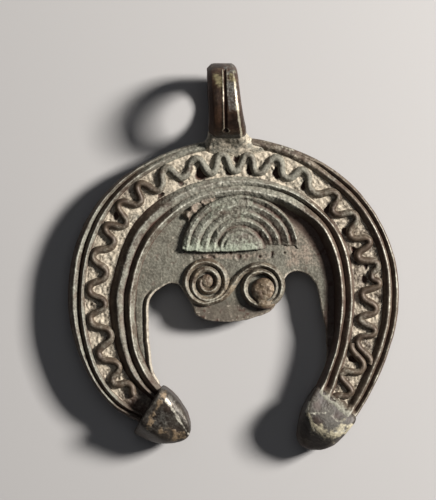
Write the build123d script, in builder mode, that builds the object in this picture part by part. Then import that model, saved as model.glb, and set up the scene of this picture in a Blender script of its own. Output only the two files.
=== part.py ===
"""A cast bronze crescent pendant: limb, wire, plate, fan, scroll, knobs and ring bail in one casting.

+X is right and +Y is up as the pendant hangs, +Z is out of its face. It lies on its back, on the
ring and the two knobs. Millimetres. The origin is under the middle of its length and width.
"""

import os
from math import atan2, cos, degrees, hypot, radians, sin, tan

from build123d import *

# Crescent limb: heights are from its flat back, rises from the channel's floor
limb_radius = 30.0
limb_width = 11.6
limb_centre_y = -6.7
limb_back = 3.6
outer_edge_height = 1.9
inner_edge_height = 1.2
channel_floor = 2.0
rise_outer_bead = 0.4
rise_second_bead = 0.7
rise_third_bead = 1.0
rise_inner_bead = 1.35
rise_inner_groove = 0.35

# Wire in the channel
wire_radius = 0.55
wire_sink = 0.3
wire_start_angle = 221.0
wire_end_angle = -46.0
wire_turns = 47
wire_outer_share = 0.30
wire_inner_share = 0.57
wire_roundness = 0.33

# Recessed plate: the strips and the lobe are what is left beside the two notches
plate_thickness = 1.15
plate_back_step = 0.2
strip_width = 2.8
strip_hollow = 1.0
strip_tip = 0.8
strip_tip_angle = 60.0
notch_width_left = 6.3
notch_width_right = 6.7
notch_rise_left = 2.0
notch_rise_right = 4.1
lobe_drop = 5.0
lobe_corner = 5.2
lip_radius = 0.35
lip_start_angle = 183.0
lip_end_angle = 212.0

# Fan of ridges
fan_radius = 10.3
fan_x = 0.6
fan_bite = 0.6
fan_height = 0.95
fan_core = 2.2
fan_ridges = 5
fan_ridge_radius = 0.5
fan_ridge_sink = 0.15

# Scroll of two spirals: drops are from the fan's flat side to the spirals' centres
scroll_radius = 0.6
scroll_sink = 0.15
spiral_gap = 0.3
left_spiral_x = -5.4
left_spiral_drop = 5.7
left_spiral_radius = 3.1
right_spiral_x = 4.9
right_spiral_drop = 7.0
right_spiral_radius = 3.6
right_spiral_angle = 330.0
boss_radius = 1.9
boss_height = 1.9
boss_drum = 0.65

# Knobs: a turn is from the limb's own line inwards
knob_width = 9.1
knob_height = 9.3
knob_length_left = 8.2
knob_length_right = 8.8
knob_chamfer = 1.1
knob_turn_angle_left = 4.0
knob_turn_angle_right = -10.0

# Ring bail and the foot that flares it over the rim
bail_hole = 4.45
bail_wall = 2.45
bail_near_width = 7.0
bail_far_width = 5.2
bail_lean_angle = 5.0
bail_x = -1.75
bail_bite = 0.5
bail_groove = 0.6
bail_groove_angle = 120.0
foot_flare = 0.4
foot_reach = 1.6
foot_height = 3.9
foot_corner = 1.0
foot_taper_angle = 10.0

# Stations of the limb. The angle is from +X, and the first and last stations are inside the knobs.
LIMB_STATIONS = (
    # angle, outer edge / limb_radius, width / limb_width, rise of the crests / their named rises
    (235.5, 0.958, 0.58, 0.85),
    (226.0, 0.987, 0.76, 1.00),
    (210.0, 1.003, 0.88, 1.00),
    (185.0, 1.003, 0.98, 1.00),
    (160.0, 0.998, 1.02, 1.00),
    (135.0, 0.977, 0.99, 0.95),
    (112.0, 0.940, 0.90, 0.80),
    (88.0, 0.941, 0.90, 0.75),
    (60.0, 0.947, 0.89, 0.85),
    (35.0, 0.973, 0.91, 0.95),
    (10.0, 0.990, 0.95, 1.00),
    (-15.0, 0.990, 0.91, 1.00),
    (-35.0, 1.007, 0.84, 1.00),
    (-49.7, 1.045, 0.74, 0.85),
)

# Where the beads meet, as shares of the limb's width from its outer edge
OUTER_EDGE = 0.0
OUTER_GROOVE = 0.13
CHANNEL_START = 0.22
CHANNEL_END = 0.66
INNER_GROOVE = 0.85
INNER_EDGE = 1.0

# Sections of a knob, its collar first
KNOB_SECTIONS = (
    # distance from the broad end / the knob's length, size / full size
    (-0.10, 0.84),
    (0.00, 1.00),
    (0.40, 0.93),
    (0.72, 0.75),
    (0.92, 0.44),
    (1.00, 0.16),
)


def limb_at(angle):
    """Outer edge and width of the limb at an angle, between the stations on either side of it."""
    for before, after in zip(LIMB_STATIONS, LIMB_STATIONS[1:]):
        if before[0] >= angle >= after[0]:
            share = (before[0] - angle) / (before[0] - after[0])
            outer = before[1] + share * (after[1] - before[1])
            width = before[2] + share * (after[2] - before[2])
            return limb_radius * outer, limb_width * width
    raise ValueError("the angle is outside the limb")


def on_limb(angle, share):
    """The point in plan at an angle and a share of the limb's width from its outer edge."""
    outer, width = limb_at(angle)
    radius = outer - share * width
    return radius * cos(radians(angle)), limb_centre_y + radius * sin(radians(angle))


def limb_section(angle, outer_share, width_share, rise_share):
    """An upright section: a flat back, two walls, four beads and the channel's floor."""
    outer = limb_radius * outer_share
    width = limb_width * width_share

    def at(share, height):
        return outer - share * width, limb_back + height

    def rise(share, height):
        return at(share, channel_floor + rise_share * height)

    outer_edge = at(OUTER_EDGE, outer_edge_height)
    outer_groove = at(OUTER_GROOVE, channel_floor)
    channel_start = at(CHANNEL_START, channel_floor)
    channel_end = at(CHANNEL_END, channel_floor)
    inner_groove = rise(INNER_GROOVE, rise_inner_groove)
    inner_edge = at(INNER_EDGE, inner_edge_height)
    radial = (cos(radians(angle)), sin(radians(angle)), 0)
    along = (sin(radians(angle)), -cos(radians(angle)), 0)
    with BuildSketch(Plane((0, limb_centre_y, 0), x_dir=radial, z_dir=along)) as section:
        with BuildLine():
            Polyline(inner_edge, at(INNER_EDGE, 0), at(OUTER_EDGE, 0), outer_edge)
            ThreePointArc(
                outer_edge, rise((OUTER_EDGE + OUTER_GROOVE) / 2, rise_outer_bead), outer_groove
            )
            ThreePointArc(
                outer_groove, rise((OUTER_GROOVE + CHANNEL_START) / 2, rise_second_bead), channel_start
            )
            Line(channel_start, channel_end)
            ThreePointArc(
                channel_end, rise((CHANNEL_END + INNER_GROOVE) / 2, rise_third_bead), inner_groove
            )
            ThreePointArc(
                inner_groove, rise((INNER_GROOVE + INNER_EDGE) / 2, rise_inner_bead), inner_edge
            )
        make_face()
    return section.sketch


def round_section(radius, path):
    """A round section square to the start of a path."""
    with BuildSketch(Plane(path @ 0, z_dir=path % 0)) as section:
        Circle(radius)
    return section.sketch


def knob_plane(station, sense, turn):
    """The plane of a knob's broad end, square to its axis, at the limb's middle at a station."""
    x, y = on_limb(station[0], 0.5)
    heading = radians(station[0] + sense * (90 + turn))
    across = (sin(heading), -cos(heading), 0)
    return Plane((x, y, knob_height / 2), x_dir=across, z_dir=(cos(heading), sin(heading), 0))


# Limb
with BuildPart() as limb:
    loft([limb_section(*station) for station in LIMB_STATIONS])

# Wire: a zigzag with rounded turns, from the outer side of the channel to the inner and back
wire_step = (wire_start_angle - wire_end_angle) / wire_turns
wire_level = limb_back + channel_floor + wire_radius - wire_sink
run_across = (wire_inner_share - wire_outer_share) * limb_width
run_along = radians(wire_step) * (limb_radius - limb_width / 2)
wire_bend = wire_roundness * hypot(run_across, run_along) / tan(atan2(run_across, run_along))
wire_points = []
for i in range(wire_turns + 1):
    share = wire_inner_share if i % 2 else wire_outer_share
    wire_points.append((*on_limb(wire_start_angle - i * wire_step, share), wire_level))

with BuildPart() as wire:
    with BuildLine() as wire_path:
        FilletPolyline(wire_points, radius=wire_bend)
    sweep(round_section(wire_radius, wire_path.line), path=wire_path.line)

# Plate: a disc whose rim is inside the limb, less the open gap between the strips and below the lobe
plate_bottom = limb_back + plate_back_step
plate_top = plate_bottom + plate_thickness
strip_x = limb_radius - limb_width - strip_width
strip_tip_x = strip_x - strip_tip
strip_tip_y = limb_centre_y - (limb_radius - limb_width) * sin(radians(strip_tip_angle))
lobe_left_x = notch_width_left - strip_x
lobe_right_x = strip_x - notch_width_right
lobe_bottom_y = limb_centre_y - lobe_drop
lobe_side_y = lobe_bottom_y + lobe_corner
left_notch_y = limb_centre_y + notch_rise_left
right_notch_y = limb_centre_y + notch_rise_right
left_notch_side_y = left_notch_y - notch_width_left / 2
right_notch_side_y = right_notch_y - notch_width_right / 2

with BuildPart() as plate:
    with BuildSketch(Plane.XY.offset(plate_bottom)):
        with Locations((0, limb_centre_y)):
            Circle(limb_radius - limb_width / 2)
        with BuildLine():
            Line((-strip_tip_x, strip_tip_y), (-strip_x, left_notch_side_y))
            ThreePointArc(
                (-strip_x, left_notch_side_y),
                ((lobe_left_x - strip_x) / 2, left_notch_y),
                (lobe_left_x, left_notch_side_y),
            )
            Line((lobe_left_x, left_notch_side_y), (lobe_left_x, lobe_side_y))
            TangentArc(
                (lobe_left_x, lobe_side_y), (lobe_left_x + lobe_corner, lobe_bottom_y), tangent=(0, -1)
            )
            Line((lobe_left_x + lobe_corner, lobe_bottom_y), (lobe_right_x - lobe_corner, lobe_bottom_y))
            TangentArc(
                (lobe_right_x - lobe_corner, lobe_bottom_y), (lobe_right_x, lobe_side_y), tangent=(1, 0)
            )
            Line((lobe_right_x, lobe_side_y), (lobe_right_x, right_notch_side_y))
            ThreePointArc(
                (lobe_right_x, right_notch_side_y),
                ((lobe_right_x + strip_x) / 2, right_notch_y),
                (strip_x, right_notch_side_y),
            )
            ThreePointArc(
                (strip_x, right_notch_side_y),
                (strip_x + strip_hollow, (right_notch_side_y + strip_tip_y) / 2),
                (strip_tip_x, strip_tip_y),
            )
            Polyline(
                (strip_tip_x, strip_tip_y),
                (limb_radius, strip_tip_y),
                (limb_radius, limb_centre_y - limb_radius),
                (-limb_radius, limb_centre_y - limb_radius),
                (-limb_radius, strip_tip_y),
                (-strip_tip_x, strip_tip_y),
            )
        make_face(mode=Mode.SUBTRACT)
    extrude(amount=plate_thickness)

# Lip: a thin round bead just inside the free edge of the left strip
with BuildPart() as lip:
    with BuildLine(Plane.XY.offset(plate_top)) as lip_path:
        lip_x = -strip_x - lip_radius
        Line(
            (lip_x, limb_centre_y + lip_x * tan(radians(lip_start_angle))),
            (lip_x, limb_centre_y + lip_x * tan(radians(lip_end_angle))),
        )
    sweep(round_section(lip_radius, lip_path.line), path=lip_path.line)

# Fan: a half disc with half rings standing on it, flat side down, its top against the limb
limb_outer_top, limb_width_top = limb_at(90)
fan_y = limb_centre_y + limb_outer_top - limb_width_top + fan_bite - fan_radius
fan_root = plate_bottom + plate_thickness / 2
fan_level = plate_top + fan_height
fan_ridge_pitch = (fan_radius - fan_core) / fan_ridges
fan_upright = Plane(
    (fan_x, fan_y, fan_level - fan_ridge_sink), x_dir=(1, 0, 0), z_dir=(0, -1, 0)
)

with BuildPart() as fan:
    with BuildSketch(Plane((fan_x, fan_y, fan_root))):
        Circle(fan_radius)
        Rectangle(2 * fan_radius, fan_radius, align=(Align.CENTER, Align.MAX), mode=Mode.SUBTRACT)
    extrude(amount=fan_level - fan_root)
    for i in range(fan_ridges):
        with BuildSketch(fan_upright):
            with Locations((fan_radius - (i + 0.5) * fan_ridge_pitch, 0)):
                Circle(fan_ridge_radius)
        revolve(axis=Axis((fan_x, fan_y, 0), (0, 0, 1)), revolution_arc=180)

# Scroll: half turns that widen by half a pitch each, a link, and a turn the other way round the boss
scroll_level = plate_top + scroll_radius - scroll_sink
spiral_pitch = 2 * scroll_radius + spiral_gap
half_turns = 1 + int((left_spiral_radius - scroll_radius) / (spiral_pitch / 2))
left_foot_y = fan_y - left_spiral_drop - left_spiral_radius
right_spiral_y = fan_y - right_spiral_drop
link_x = right_spiral_x - left_spiral_x
link_y = right_spiral_y - left_foot_y
link_radius = (link_x**2 + link_y**2 - right_spiral_radius**2) / (2 * (right_spiral_radius + link_y))
link_sweep = 90 + degrees(atan2(link_y - link_radius, link_x))

with BuildLine(Plane.XY.offset(scroll_level)) as scroll_path:
    link = JernArc((left_spiral_x, left_foot_y), (1, 0), link_radius, link_sweep)
    JernArc(link @ 1, link % 1, right_spiral_radius, -right_spiral_angle)
    foot_y = left_foot_y
    for i in range(half_turns):
        turn_radius = left_spiral_radius - i * spiral_pitch / 2
        side = 1 if i % 2 == 0 else -1
        JernArc((left_spiral_x, foot_y), (-side, 0), turn_radius, -180)
        foot_y += side * 2 * turn_radius

with BuildPart() as scroll:
    for arc in scroll_path.line.edges():
        sweep(round_section(scroll_radius, arc), path=arc)

# Boss: a low dome on a drum in the right spiral
with BuildPart() as boss:
    with BuildSketch(
        Plane((right_spiral_x, right_spiral_y, plate_top), x_dir=(1, 0, 0), z_dir=(0, -1, 0))
    ):
        with BuildLine():
            dome_top = (0, boss_height)
            drum_top = (boss_radius, boss_drum)
            drum_root = -plate_thickness / 2
            Polyline(dome_top, (0, drum_root), (boss_radius, drum_root), drum_top)
            TangentArc(dome_top, drum_top, tangent=(1, 0))
        make_face()
    revolve(axis=Axis((right_spiral_x, right_spiral_y, 0), (0, 0, 1)))

# Knobs: chamfered square sections that narrow to a blunt tip
knobs = []
for knob_end, knob_length in (
    (knob_plane(LIMB_STATIONS[0], 1, knob_turn_angle_left), knob_length_left),
    (knob_plane(LIMB_STATIONS[-1], -1, knob_turn_angle_right), knob_length_right),
):
    with BuildPart() as knob:
        for along, size in KNOB_SECTIONS:
            with BuildSketch(knob_end.offset(along * knob_length)) as section:
                Rectangle(knob_width * size, knob_height * size)
                chamfer(section.vertices(), knob_chamfer * size)
        loft(ruled=True)
    knobs.append(knob.part)

# Bail: a ring that stands across the limb's top and narrows towards its far side, with a groove
bail_radius = bail_hole + bail_wall
bail_y = limb_centre_y + limb_outer_top + bail_radius - bail_bite
bail_across = (cos(radians(bail_lean_angle)), sin(radians(bail_lean_angle)), 0)
bail_centre = (bail_x, bail_y, bail_radius)

with BuildPart() as bail:
    with BuildSketch(Plane(bail_centre, x_dir=(0, 0, 1), z_dir=bail_across)):
        Circle(bail_radius)
        Circle(bail_hole, mode=Mode.SUBTRACT)
    extrude(amount=bail_near_width, both=True)
    with BuildSketch(Plane((bail_x, bail_y, 0), x_dir=bail_across)):
        with BuildLine():
            Polyline(
                (-bail_near_width / 2, -bail_radius),
                (bail_near_width / 2, -bail_radius),
                (bail_far_width / 2, bail_radius),
                (-bail_far_width / 2, bail_radius),
                close=True,
            )
        make_face()
    extrude(amount=2 * bail_radius, mode=Mode.INTERSECT)
    with BuildSketch(Plane(bail_centre, x_dir=bail_across)):
        with Locations((0, bail_radius)):
            Circle(bail_groove)
    revolve(
        axis=Axis(bail_centre, bail_across), revolution_arc=bail_groove_angle, mode=Mode.SUBTRACT
    )

# Foot: a tapered block from the middle of the ring's near wall out over the rim
with BuildPart() as foot:
    with BuildSketch(Plane((bail_x, bail_y, limb_back), x_dir=bail_across)):
        with Locations((0, -bail_radius - foot_reach)):
            RectangleRounded(
                bail_near_width + 2 * foot_flare,
                foot_reach + bail_wall / 2,
                foot_corner,
                align=(Align.CENTER, Align.MIN),
            )
    extrude(amount=foot_height, taper=foot_taper_angle)

# The casting
with BuildPart() as crescent_pendant:
    add(limb.part)
    add(wire.part)
    add(plate.part)
    add(lip.part)
    add(fan.part)
    add(scroll.part)
    add(boss.part)
    add(knobs)
    add(bail.part)
    add(foot.part)

os.makedirs("parts", exist_ok=True)
crescent_pendant.part.label = "crescent_pendant"
export_step(crescent_pendant.part, "parts/crescent_pendant.step")
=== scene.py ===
"""Looks of the cast bronze crescent pendant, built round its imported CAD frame.

Shapes are worked out in millimetres in the part's own frame, as numpy surfaces, and stored in metres.
Uneven forms and patches of patina come from noise with fixed seeds.
"""

from math import cos, radians, sin
from types import SimpleNamespace

import bpy
import numpy as np
from mathutils import Matrix, Vector


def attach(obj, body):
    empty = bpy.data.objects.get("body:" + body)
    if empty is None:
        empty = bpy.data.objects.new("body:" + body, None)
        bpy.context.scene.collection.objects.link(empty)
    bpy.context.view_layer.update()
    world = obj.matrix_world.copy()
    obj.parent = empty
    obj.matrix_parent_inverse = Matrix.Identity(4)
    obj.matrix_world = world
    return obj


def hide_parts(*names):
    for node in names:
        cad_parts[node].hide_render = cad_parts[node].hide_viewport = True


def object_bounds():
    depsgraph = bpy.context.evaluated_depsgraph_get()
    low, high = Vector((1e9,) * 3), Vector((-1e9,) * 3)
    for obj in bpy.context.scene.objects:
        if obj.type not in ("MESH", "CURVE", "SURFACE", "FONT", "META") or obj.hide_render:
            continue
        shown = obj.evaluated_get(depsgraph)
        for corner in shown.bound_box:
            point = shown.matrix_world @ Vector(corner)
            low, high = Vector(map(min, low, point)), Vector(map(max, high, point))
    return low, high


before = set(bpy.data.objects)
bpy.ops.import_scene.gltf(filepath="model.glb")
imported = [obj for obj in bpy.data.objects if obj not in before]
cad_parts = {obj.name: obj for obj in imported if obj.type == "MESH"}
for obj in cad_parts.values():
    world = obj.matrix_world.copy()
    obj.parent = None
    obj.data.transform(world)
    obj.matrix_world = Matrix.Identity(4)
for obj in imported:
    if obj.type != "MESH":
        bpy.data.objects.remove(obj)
cad_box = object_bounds()

MM = 0.001
NODE = "crescent_pendant"

# Noise
LATTICE = 32
# where a line of noise runs across the lattice, as shares of a cell
LINE_PLACE = (0.37, 0.71)


def noise(points, size, seed):
    """Smooth noise from -1 to 1: random values on a lattice with cells of the size, eased between."""
    table = np.random.default_rng(seed).uniform(-1, 1, (LATTICE,) * 3)
    cell = np.asarray(points, float) / size
    low = np.floor(cell).astype(int)
    part = cell - low
    part = part * part * (3 - 2 * part)
    total = 0
    for corner in np.ndindex(2, 2, 2):
        weight = np.prod(np.abs(1 - np.array(corner) - part), axis=-1)
        at = (low + np.array(corner)) % LATTICE
        total = total + weight * table[at[..., 0], at[..., 1], at[..., 2]]
    return total


def rough(points, size, seed, octaves=3):
    """Noise added up over octaves, each half the size and half the strength of the last."""
    total = sum(noise(points, size / 2**k, seed + k) / 2**k for k in range(octaves))
    return total / (2 - 2.0 ** (1 - octaves))


def line_noise(along, size, seed):
    """Noise along one line."""
    across = [np.full_like(along, share * size) for share in LINE_PLACE]
    return noise(np.stack([along, *across], axis=-1), size, seed)


def waver(along, *waves, start=0):
    """A start plus waves of noise along one line, each given as its height, size and seed."""
    return sum((height * line_noise(along, size, seed) for height, size, seed in waves), start)


def flat_points(plan):
    """Points of the plan at height 0, where a surface over the plan reads its noise."""
    return np.concatenate([plan, np.zeros_like(plan[..., :1])], axis=-1)


def ease(value, low, high):
    """0 below low, 1 above high, and smooth between. It falls where low is above high."""
    t = np.clip((value - low) / (high - low), 0, 1)
    return t * t * (3 - 2 * t)


def between(value, start, whole, waning, end):
    """1 from whole to waning, and smooth to 0 at the start and at the end."""
    return ease(value, start, whole) * ease(value, end, waning)


def hump(value, middle, width):
    """A bell of height 1 round the middle."""
    return np.exp(-(((value - middle) / width) ** 2))


# Curves
def curve_through(at, knots, values):
    """Cubic Hermite curve through rows of values at rising knots, with slopes from the neighbours."""
    knots, values = np.asarray(knots, float), np.asarray(values, float)
    slopes = np.gradient(values, knots, axis=0)
    i = np.clip(np.searchsorted(knots, at) - 1, 0, len(knots) - 2)
    span = (knots[i + 1] - knots[i])[:, None]
    t = (np.asarray(at) - knots[i])[:, None] / span
    return (
        (1 + 2 * t) * (1 - t) ** 2 * values[i]
        + t * (1 - t) ** 2 * span * slopes[i]
        + t * t * (3 - 2 * t) * values[i + 1]
        + t * t * (t - 1) * span * slopes[i + 1]
    )


def resample(points, spacing, closed=False):
    """A polyline's points again at an even spacing."""
    points = np.asarray(points, float)
    if closed:
        points = np.vstack([points, points[:1]])
    length = np.r_[0, np.cumsum(np.linalg.norm(np.diff(points, axis=0), axis=1))]
    count = max(int(length[-1] / spacing), 2)
    at = np.linspace(0, length[-1], count + 1)[: count if closed else None]
    return np.stack([np.interp(at, length, points[:, k]) for k in range(points.shape[1])], axis=-1)


def bend(points, spacing, reach, closed=False):
    """A polyline bent into a smooth line: each point becomes the bell-weighted mean of those near it."""
    line = resample(points, spacing, closed)
    steps = int(3 * reach / spacing)
    weights = hump(np.arange(-steps, steps + 1) * spacing, 0, reach)
    if closed:
        padded = np.vstack([line[-steps:], line, line[:steps]])
    else:
        start = 2 * line[0] - line[steps:0:-1]
        end = 2 * line[-1] - line[-2 : -steps - 2 : -1]
        padded = np.vstack([start, line, end])
    weights = weights / weights.sum()
    return np.stack([np.convolve(padded[:, k], weights, "valid") for k in range(line.shape[1])], axis=-1)


def polar(centre, radius, turn):
    """Points in plan at radii from a centre, turned by radians from +X."""
    return centre + np.stack([radius * np.cos(turn), radius * np.sin(turn)], axis=-1)


def left_of(line):
    """Unit vectors in plan to the left of a line's way."""
    tangent = np.gradient(line, axis=0)
    tangent /= np.linalg.norm(tangent, axis=1, keepdims=True)
    return np.stack([-tangent[:, 1], tangent[:, 0]], axis=-1)


# Meshes
def grid_faces(rows, columns, closed=False):
    """Quads of a grid of points numbered row by row, each row closed, and the columns too if asked."""
    i = np.arange(rows if closed else rows - 1)[:, None] * columns
    j = np.arange(columns)[None, :]
    k = (j + 1) % columns
    onward = (i + columns) % (rows * columns)
    return np.stack([i + j, i + k, onward + k, onward + j], axis=-1).reshape(-1, 4)


def closed_tube(grid):
    """Points, quads and triangles of a tube of closed rows, with a fan of triangles over each end."""
    rows, columns = grid.shape[:2]
    points = np.vstack([grid.reshape(-1, 3), grid[0].mean(0), grid[-1].mean(0)])
    j = np.arange(columns)
    k = (j + 1) % columns
    last = (rows - 1) * columns
    start = np.stack([k, j, np.full(columns, rows * columns)], axis=-1)
    end = np.stack([last + j, last + k, np.full(columns, rows * columns + 1)], axis=-1)
    return points, grid_faces(rows, columns), np.vstack([start, end])


def normals(points, quads, triangles):
    """Unit normals of the points, each the mean of its faces' normals by area."""
    total = np.zeros_like(points)
    for corners in (quads[:, [0, 1, 2]], quads[:, [0, 2, 3]], triangles):
        a, b, c = (points[corners[:, k]] for k in range(3))
        across = np.cross(b - a, c - a)
        for k in range(3):
            np.add.at(total, corners[:, k], across)
    return total / np.maximum(np.linalg.norm(total, axis=1, keepdims=True), 1e-12)


def volume(points, quads, triangles):
    """Signed volume of a closed mesh, which is below 0 where its faces look inwards."""
    total = 0
    for corners in (quads[:, [0, 1, 2]], quads[:, [0, 2, 3]], triangles):
        a, b, c = (points[corners[:, k]] for k in range(3))
        total += np.einsum("ij,ij->", a, np.cross(b, c))
    return total / 6


BOX_LOW = np.array(cad_box[0]) / MM
BOX_HIGH = np.array(cad_box[1]) / MM
BOX_SKIN = 0.01
# the hollow mask holds dirt in grooves and pits together with painted shade; the crest mask holds wear
# together with painted highlights
MASKS = ("crest", "hollow", "dust", "pale")
# depth and size of the dents that a piece has unless it names its own
DENTS = ((0.03, 1.6), (0.014, 0.45))
FINE_DENTS = ((0.012, 0.35),)


def piece(name, mesh_parts, masks, material, seed, dents=DENTS):
    """A smooth mesh object: its faces turned outwards, its surface dented by noise along the normals.

    The masks hold one number for each of the first points, and 0 for the rest, such as those of an
    underside or an end. The material reads them as attributes.
    """
    points, quads, triangles = mesh_parts
    if volume(points, quads, triangles) < 0:
        quads, triangles = quads[:, ::-1], triangles[:, ::-1]
    out = normals(points, quads, triangles)
    for k, (depth, size) in enumerate(dents):
        points = points + out * (depth * rough(points, size, seed + 11 * k, 2))[:, None]
    points = np.clip(points, BOX_LOW + BOX_SKIN, BOX_HIGH - BOX_SKIN)
    mesh = bpy.data.meshes.new(name)
    mesh.from_pydata((points * MM).tolist(), [], quads.tolist() + triangles.tolist())
    mesh.polygons.foreach_set("use_smooth", np.ones(len(mesh.polygons), bool))
    for mask in MASKS:
        given = np.ravel(masks.get(mask, 0))
        values = np.zeros(len(points), np.float32)
        values[: len(given)] = given
        mesh.attributes.new(mask, "FLOAT", "POINT").data.foreach_set("value", values)
    mesh.materials.append(material)
    mesh.update()
    obj = bpy.data.objects.new(name, mesh)
    bpy.context.scene.collection.objects.link(obj)
    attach(obj, "root")
    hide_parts(NODE)


BAR_POINTS = 24


def ribbon(line, half_width, height, level, sharp):
    """A bar laid along a line in plan: a super-ellipse section, wide across and tall upwards.

    The point at v is the line's point, plus the way to its left times the half-width times the sharpened
    cosine of v, with the level plus the height times the sharpened sine of v as its height. The sharpened
    sines come back too.
    """
    v = np.linspace(0, 2 * np.pi, BAR_POINTS, endpoint=False)
    across, up = (np.sign(wave) * np.abs(wave) ** (2 / sharp) for wave in (np.cos(v), np.sin(v)))
    plan = line[:, None] + left_of(line)[:, None] * (half_width[:, None] * across)[..., None]
    z = level + height[:, None] * up
    return np.concatenate([plan, z[..., None]], axis=-1), np.broadcast_to(up, z.shape)


# Slabs
# how many points are measured at once, so that memory suffices
BATCH = 4096


def nearest_on(points, outline):
    """For each point: the nearest point of a closed outline, and the distance, above 0 inside."""
    start = outline
    step = np.roll(outline, -1, axis=0) - outline
    square = np.maximum((step**2).sum(1), 1e-12)
    found = np.empty_like(points)
    distance = np.empty(len(points))
    for i in range(0, len(points), BATCH):
        p = points[i : i + BATCH]
        offset = p[:, None] - start[None]
        t = np.clip((offset * step).sum(-1) / square, 0, 1)
        on = start[None] + t[..., None] * step[None]
        gap = ((p[:, None] - on) ** 2).sum(-1)
        best = gap.argmin(1)
        rows = np.arange(len(p))
        found[i : i + BATCH] = on[rows, best]
        above = start[None, :, 1] > p[:, None, 1]
        crossing = above != (start[None, :, 1] + step[None, :, 1] > p[:, None, 1])
        with np.errstate(divide="ignore", invalid="ignore"):
            at = start[:, 0] + (p[:, None, 1] - start[:, 1]) * step[:, 0] / step[:, 1]
        inside = (crossing & (p[:, None, 0] < at)).sum(1) % 2 == 1
        distance[i : i + BATCH] = np.sqrt(gap[rows, best]) * np.where(inside, 1, -1)
    return found, distance


def slab(outline, spacing, top, bottom, edge):
    """A plate cut to an outline: a square grid whose points near the outline are moved onto it.

    top gives the height at the plan points and their depth inside the outline. The edge is the radius
    that rounds the top off towards the outline. The bottom has the same grid, and a wall joins them.
    """
    low, high = outline.min(0) - 2 * spacing, outline.max(0) + 2 * spacing
    x, y = (np.arange(low[k], high[k], spacing) for k in range(2))
    grid = np.stack(np.meshgrid(x, y), axis=-1)
    shape = grid.shape[:2]
    plan = grid.reshape(-1, 2)
    found, depth = nearest_on(plan, outline)
    near = np.abs(depth) < spacing / 2
    plan[near] = found[near]
    depth[near] = 0
    state = np.sign(depth).astype(int)
    number = np.arange(len(plan)).reshape(shape)
    cells = np.stack(
        [number[:-1, :-1], number[:-1, 1:], number[1:, 1:], number[1:, :-1]], axis=-1
    ).reshape(-1, 4)
    corner_state = state[cells]
    outside = (corner_state < 0).sum(1)
    whole = cells[outside == 0]
    flat = (state[whole] == 0).all(1)
    whole = whole[~flat | (nearest_on(plan[whole].mean(1), outline)[1] > 0)]
    cut = cells[outside == 1]
    turn = (state[cut] < 0).argmax(1)
    cut = np.stack([cut[np.arange(len(cut)), (turn + k) % 4] for k in (1, 2, 3)], axis=-1)
    cut = cut[nearest_on(plan[cut].mean(1), outline)[1] > 0]
    used = np.unique(np.r_[whole.ravel(), cut.ravel()])
    renumber = np.full(len(plan), -1)
    renumber[used] = np.arange(len(used))
    whole, cut, plan, depth = renumber[whole], renumber[cut], plan[used], depth[used]
    sides = [whole[:, [k, (k + 1) % 4]] for k in range(4)] + [cut[:, [k, (k + 1) % 3]] for k in range(3)]
    edges = np.vstack(sides)
    count = len(plan)
    lone = ~np.isin(edges[:, 0] * count + edges[:, 1], edges[:, 1] * count + edges[:, 0])
    a, b = edges[lone].T
    drop = 1 - np.sqrt(1 - (1 - np.clip(depth / edge, 0, 1)) ** 2)
    upper = top(plan, depth) - edge * drop
    under = bottom + 0.5 * edge * drop
    points = np.vstack([np.c_[plan, upper], np.c_[plan, under]])
    quads = np.vstack([whole, count + whole[:, ::-1], np.stack([b, a, count + a, count + b], axis=-1)])
    triangles = np.vstack([cut, count + cut[:, ::-1]])
    return (points, quads, triangles), plan, depth


# Materials
class Wiring:
    """Adds nodes to a tree. Each kind of node takes sockets, numbers or colours, and gives its output."""

    def __init__(self, tree):
        self.nodes = tree.nodes
        self.links = tree.links

    def feed(self, sockets, values):
        """Link each value to its socket, or set the socket to it, unless it is None."""
        for socket, value in zip(sockets, values):
            if isinstance(value, bpy.types.NodeSocket):
                self.links.new(value, socket)
            elif value is not None:
                socket.default_value = value

    def noise(self, place, scale, detail):
        """Noise with so many cells to a metre."""
        node = self.nodes.new("ShaderNodeTexNoise")
        self.feed([node.inputs[name] for name in ("Vector", "Scale", "Detail")], (place, scale, detail))
        return node.outputs["Fac"]

    def maths(self, operation, first, second, third=None, clamp=False):
        """One step of arithmetic."""
        node = self.nodes.new("ShaderNodeMath")
        node.operation = operation
        node.use_clamp = clamp
        self.feed(node.inputs, (first, second, third))
        return node.outputs[0]

    def total(self, start, *parts):
        """A number plus each socket times its share, held between 0 and 1 at the end."""
        for count, (socket, share) in enumerate(parts, 1):
            start = self.maths("MULTIPLY_ADD", socket, share, start, clamp=count == len(parts))
        return start

    def mix(self, factor, first, second, blend="MIX"):
        """Two colours mixed."""
        node = self.nodes.new("ShaderNodeMix")
        node.data_type = "RGBA"
        node.blend_type = blend
        self.feed((node.inputs[0], node.inputs[6], node.inputs[7]), (factor, first, second))
        return node.outputs[2]

    def remap(self, value, low, high):
        """0 below low and 1 above high, smooth between."""
        node = self.nodes.new("ShaderNodeMapRange")
        node.interpolation_type = "SMOOTHSTEP"
        self.feed([node.inputs[name] for name in ("Value", "From Min", "From Max")], (value, low, high))
        return node.outputs["Result"]


PATINA_SOCKETS = (
    ("INPUT", "NodeSocketColor", ("Dark", "Brown", "WornAndHighlight", "Pale", "Dust")),
    ("INPUT", "NodeSocketFloat", ("Crest", "Hollow", "Dusty", "Paled", "Grain", "Gloss")),
    ("OUTPUT", "NodeSocketColor", ("Color",)),
    ("OUTPUT", "NodeSocketFloat", ("Roughness", "Metallic", "Height")),
)
# each coat over the base: its colour, its mask, how far blots and grains fray its edge, and the values
# of the frayed mask where it starts and where it is whole
PATINA_COATS = (
    ("Pale", "Paled", 1.0, 1.0, 0.1, 1.0),
    # the worn coat also lays on painted highlight lines, from the crest mask
    ("WornAndHighlight", "Crest", 0.7, 0.5, 0.3, 1.0),
    ("Dust", "Dusty", 1.0, 1.0, 0.15, 0.95),
)
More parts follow.
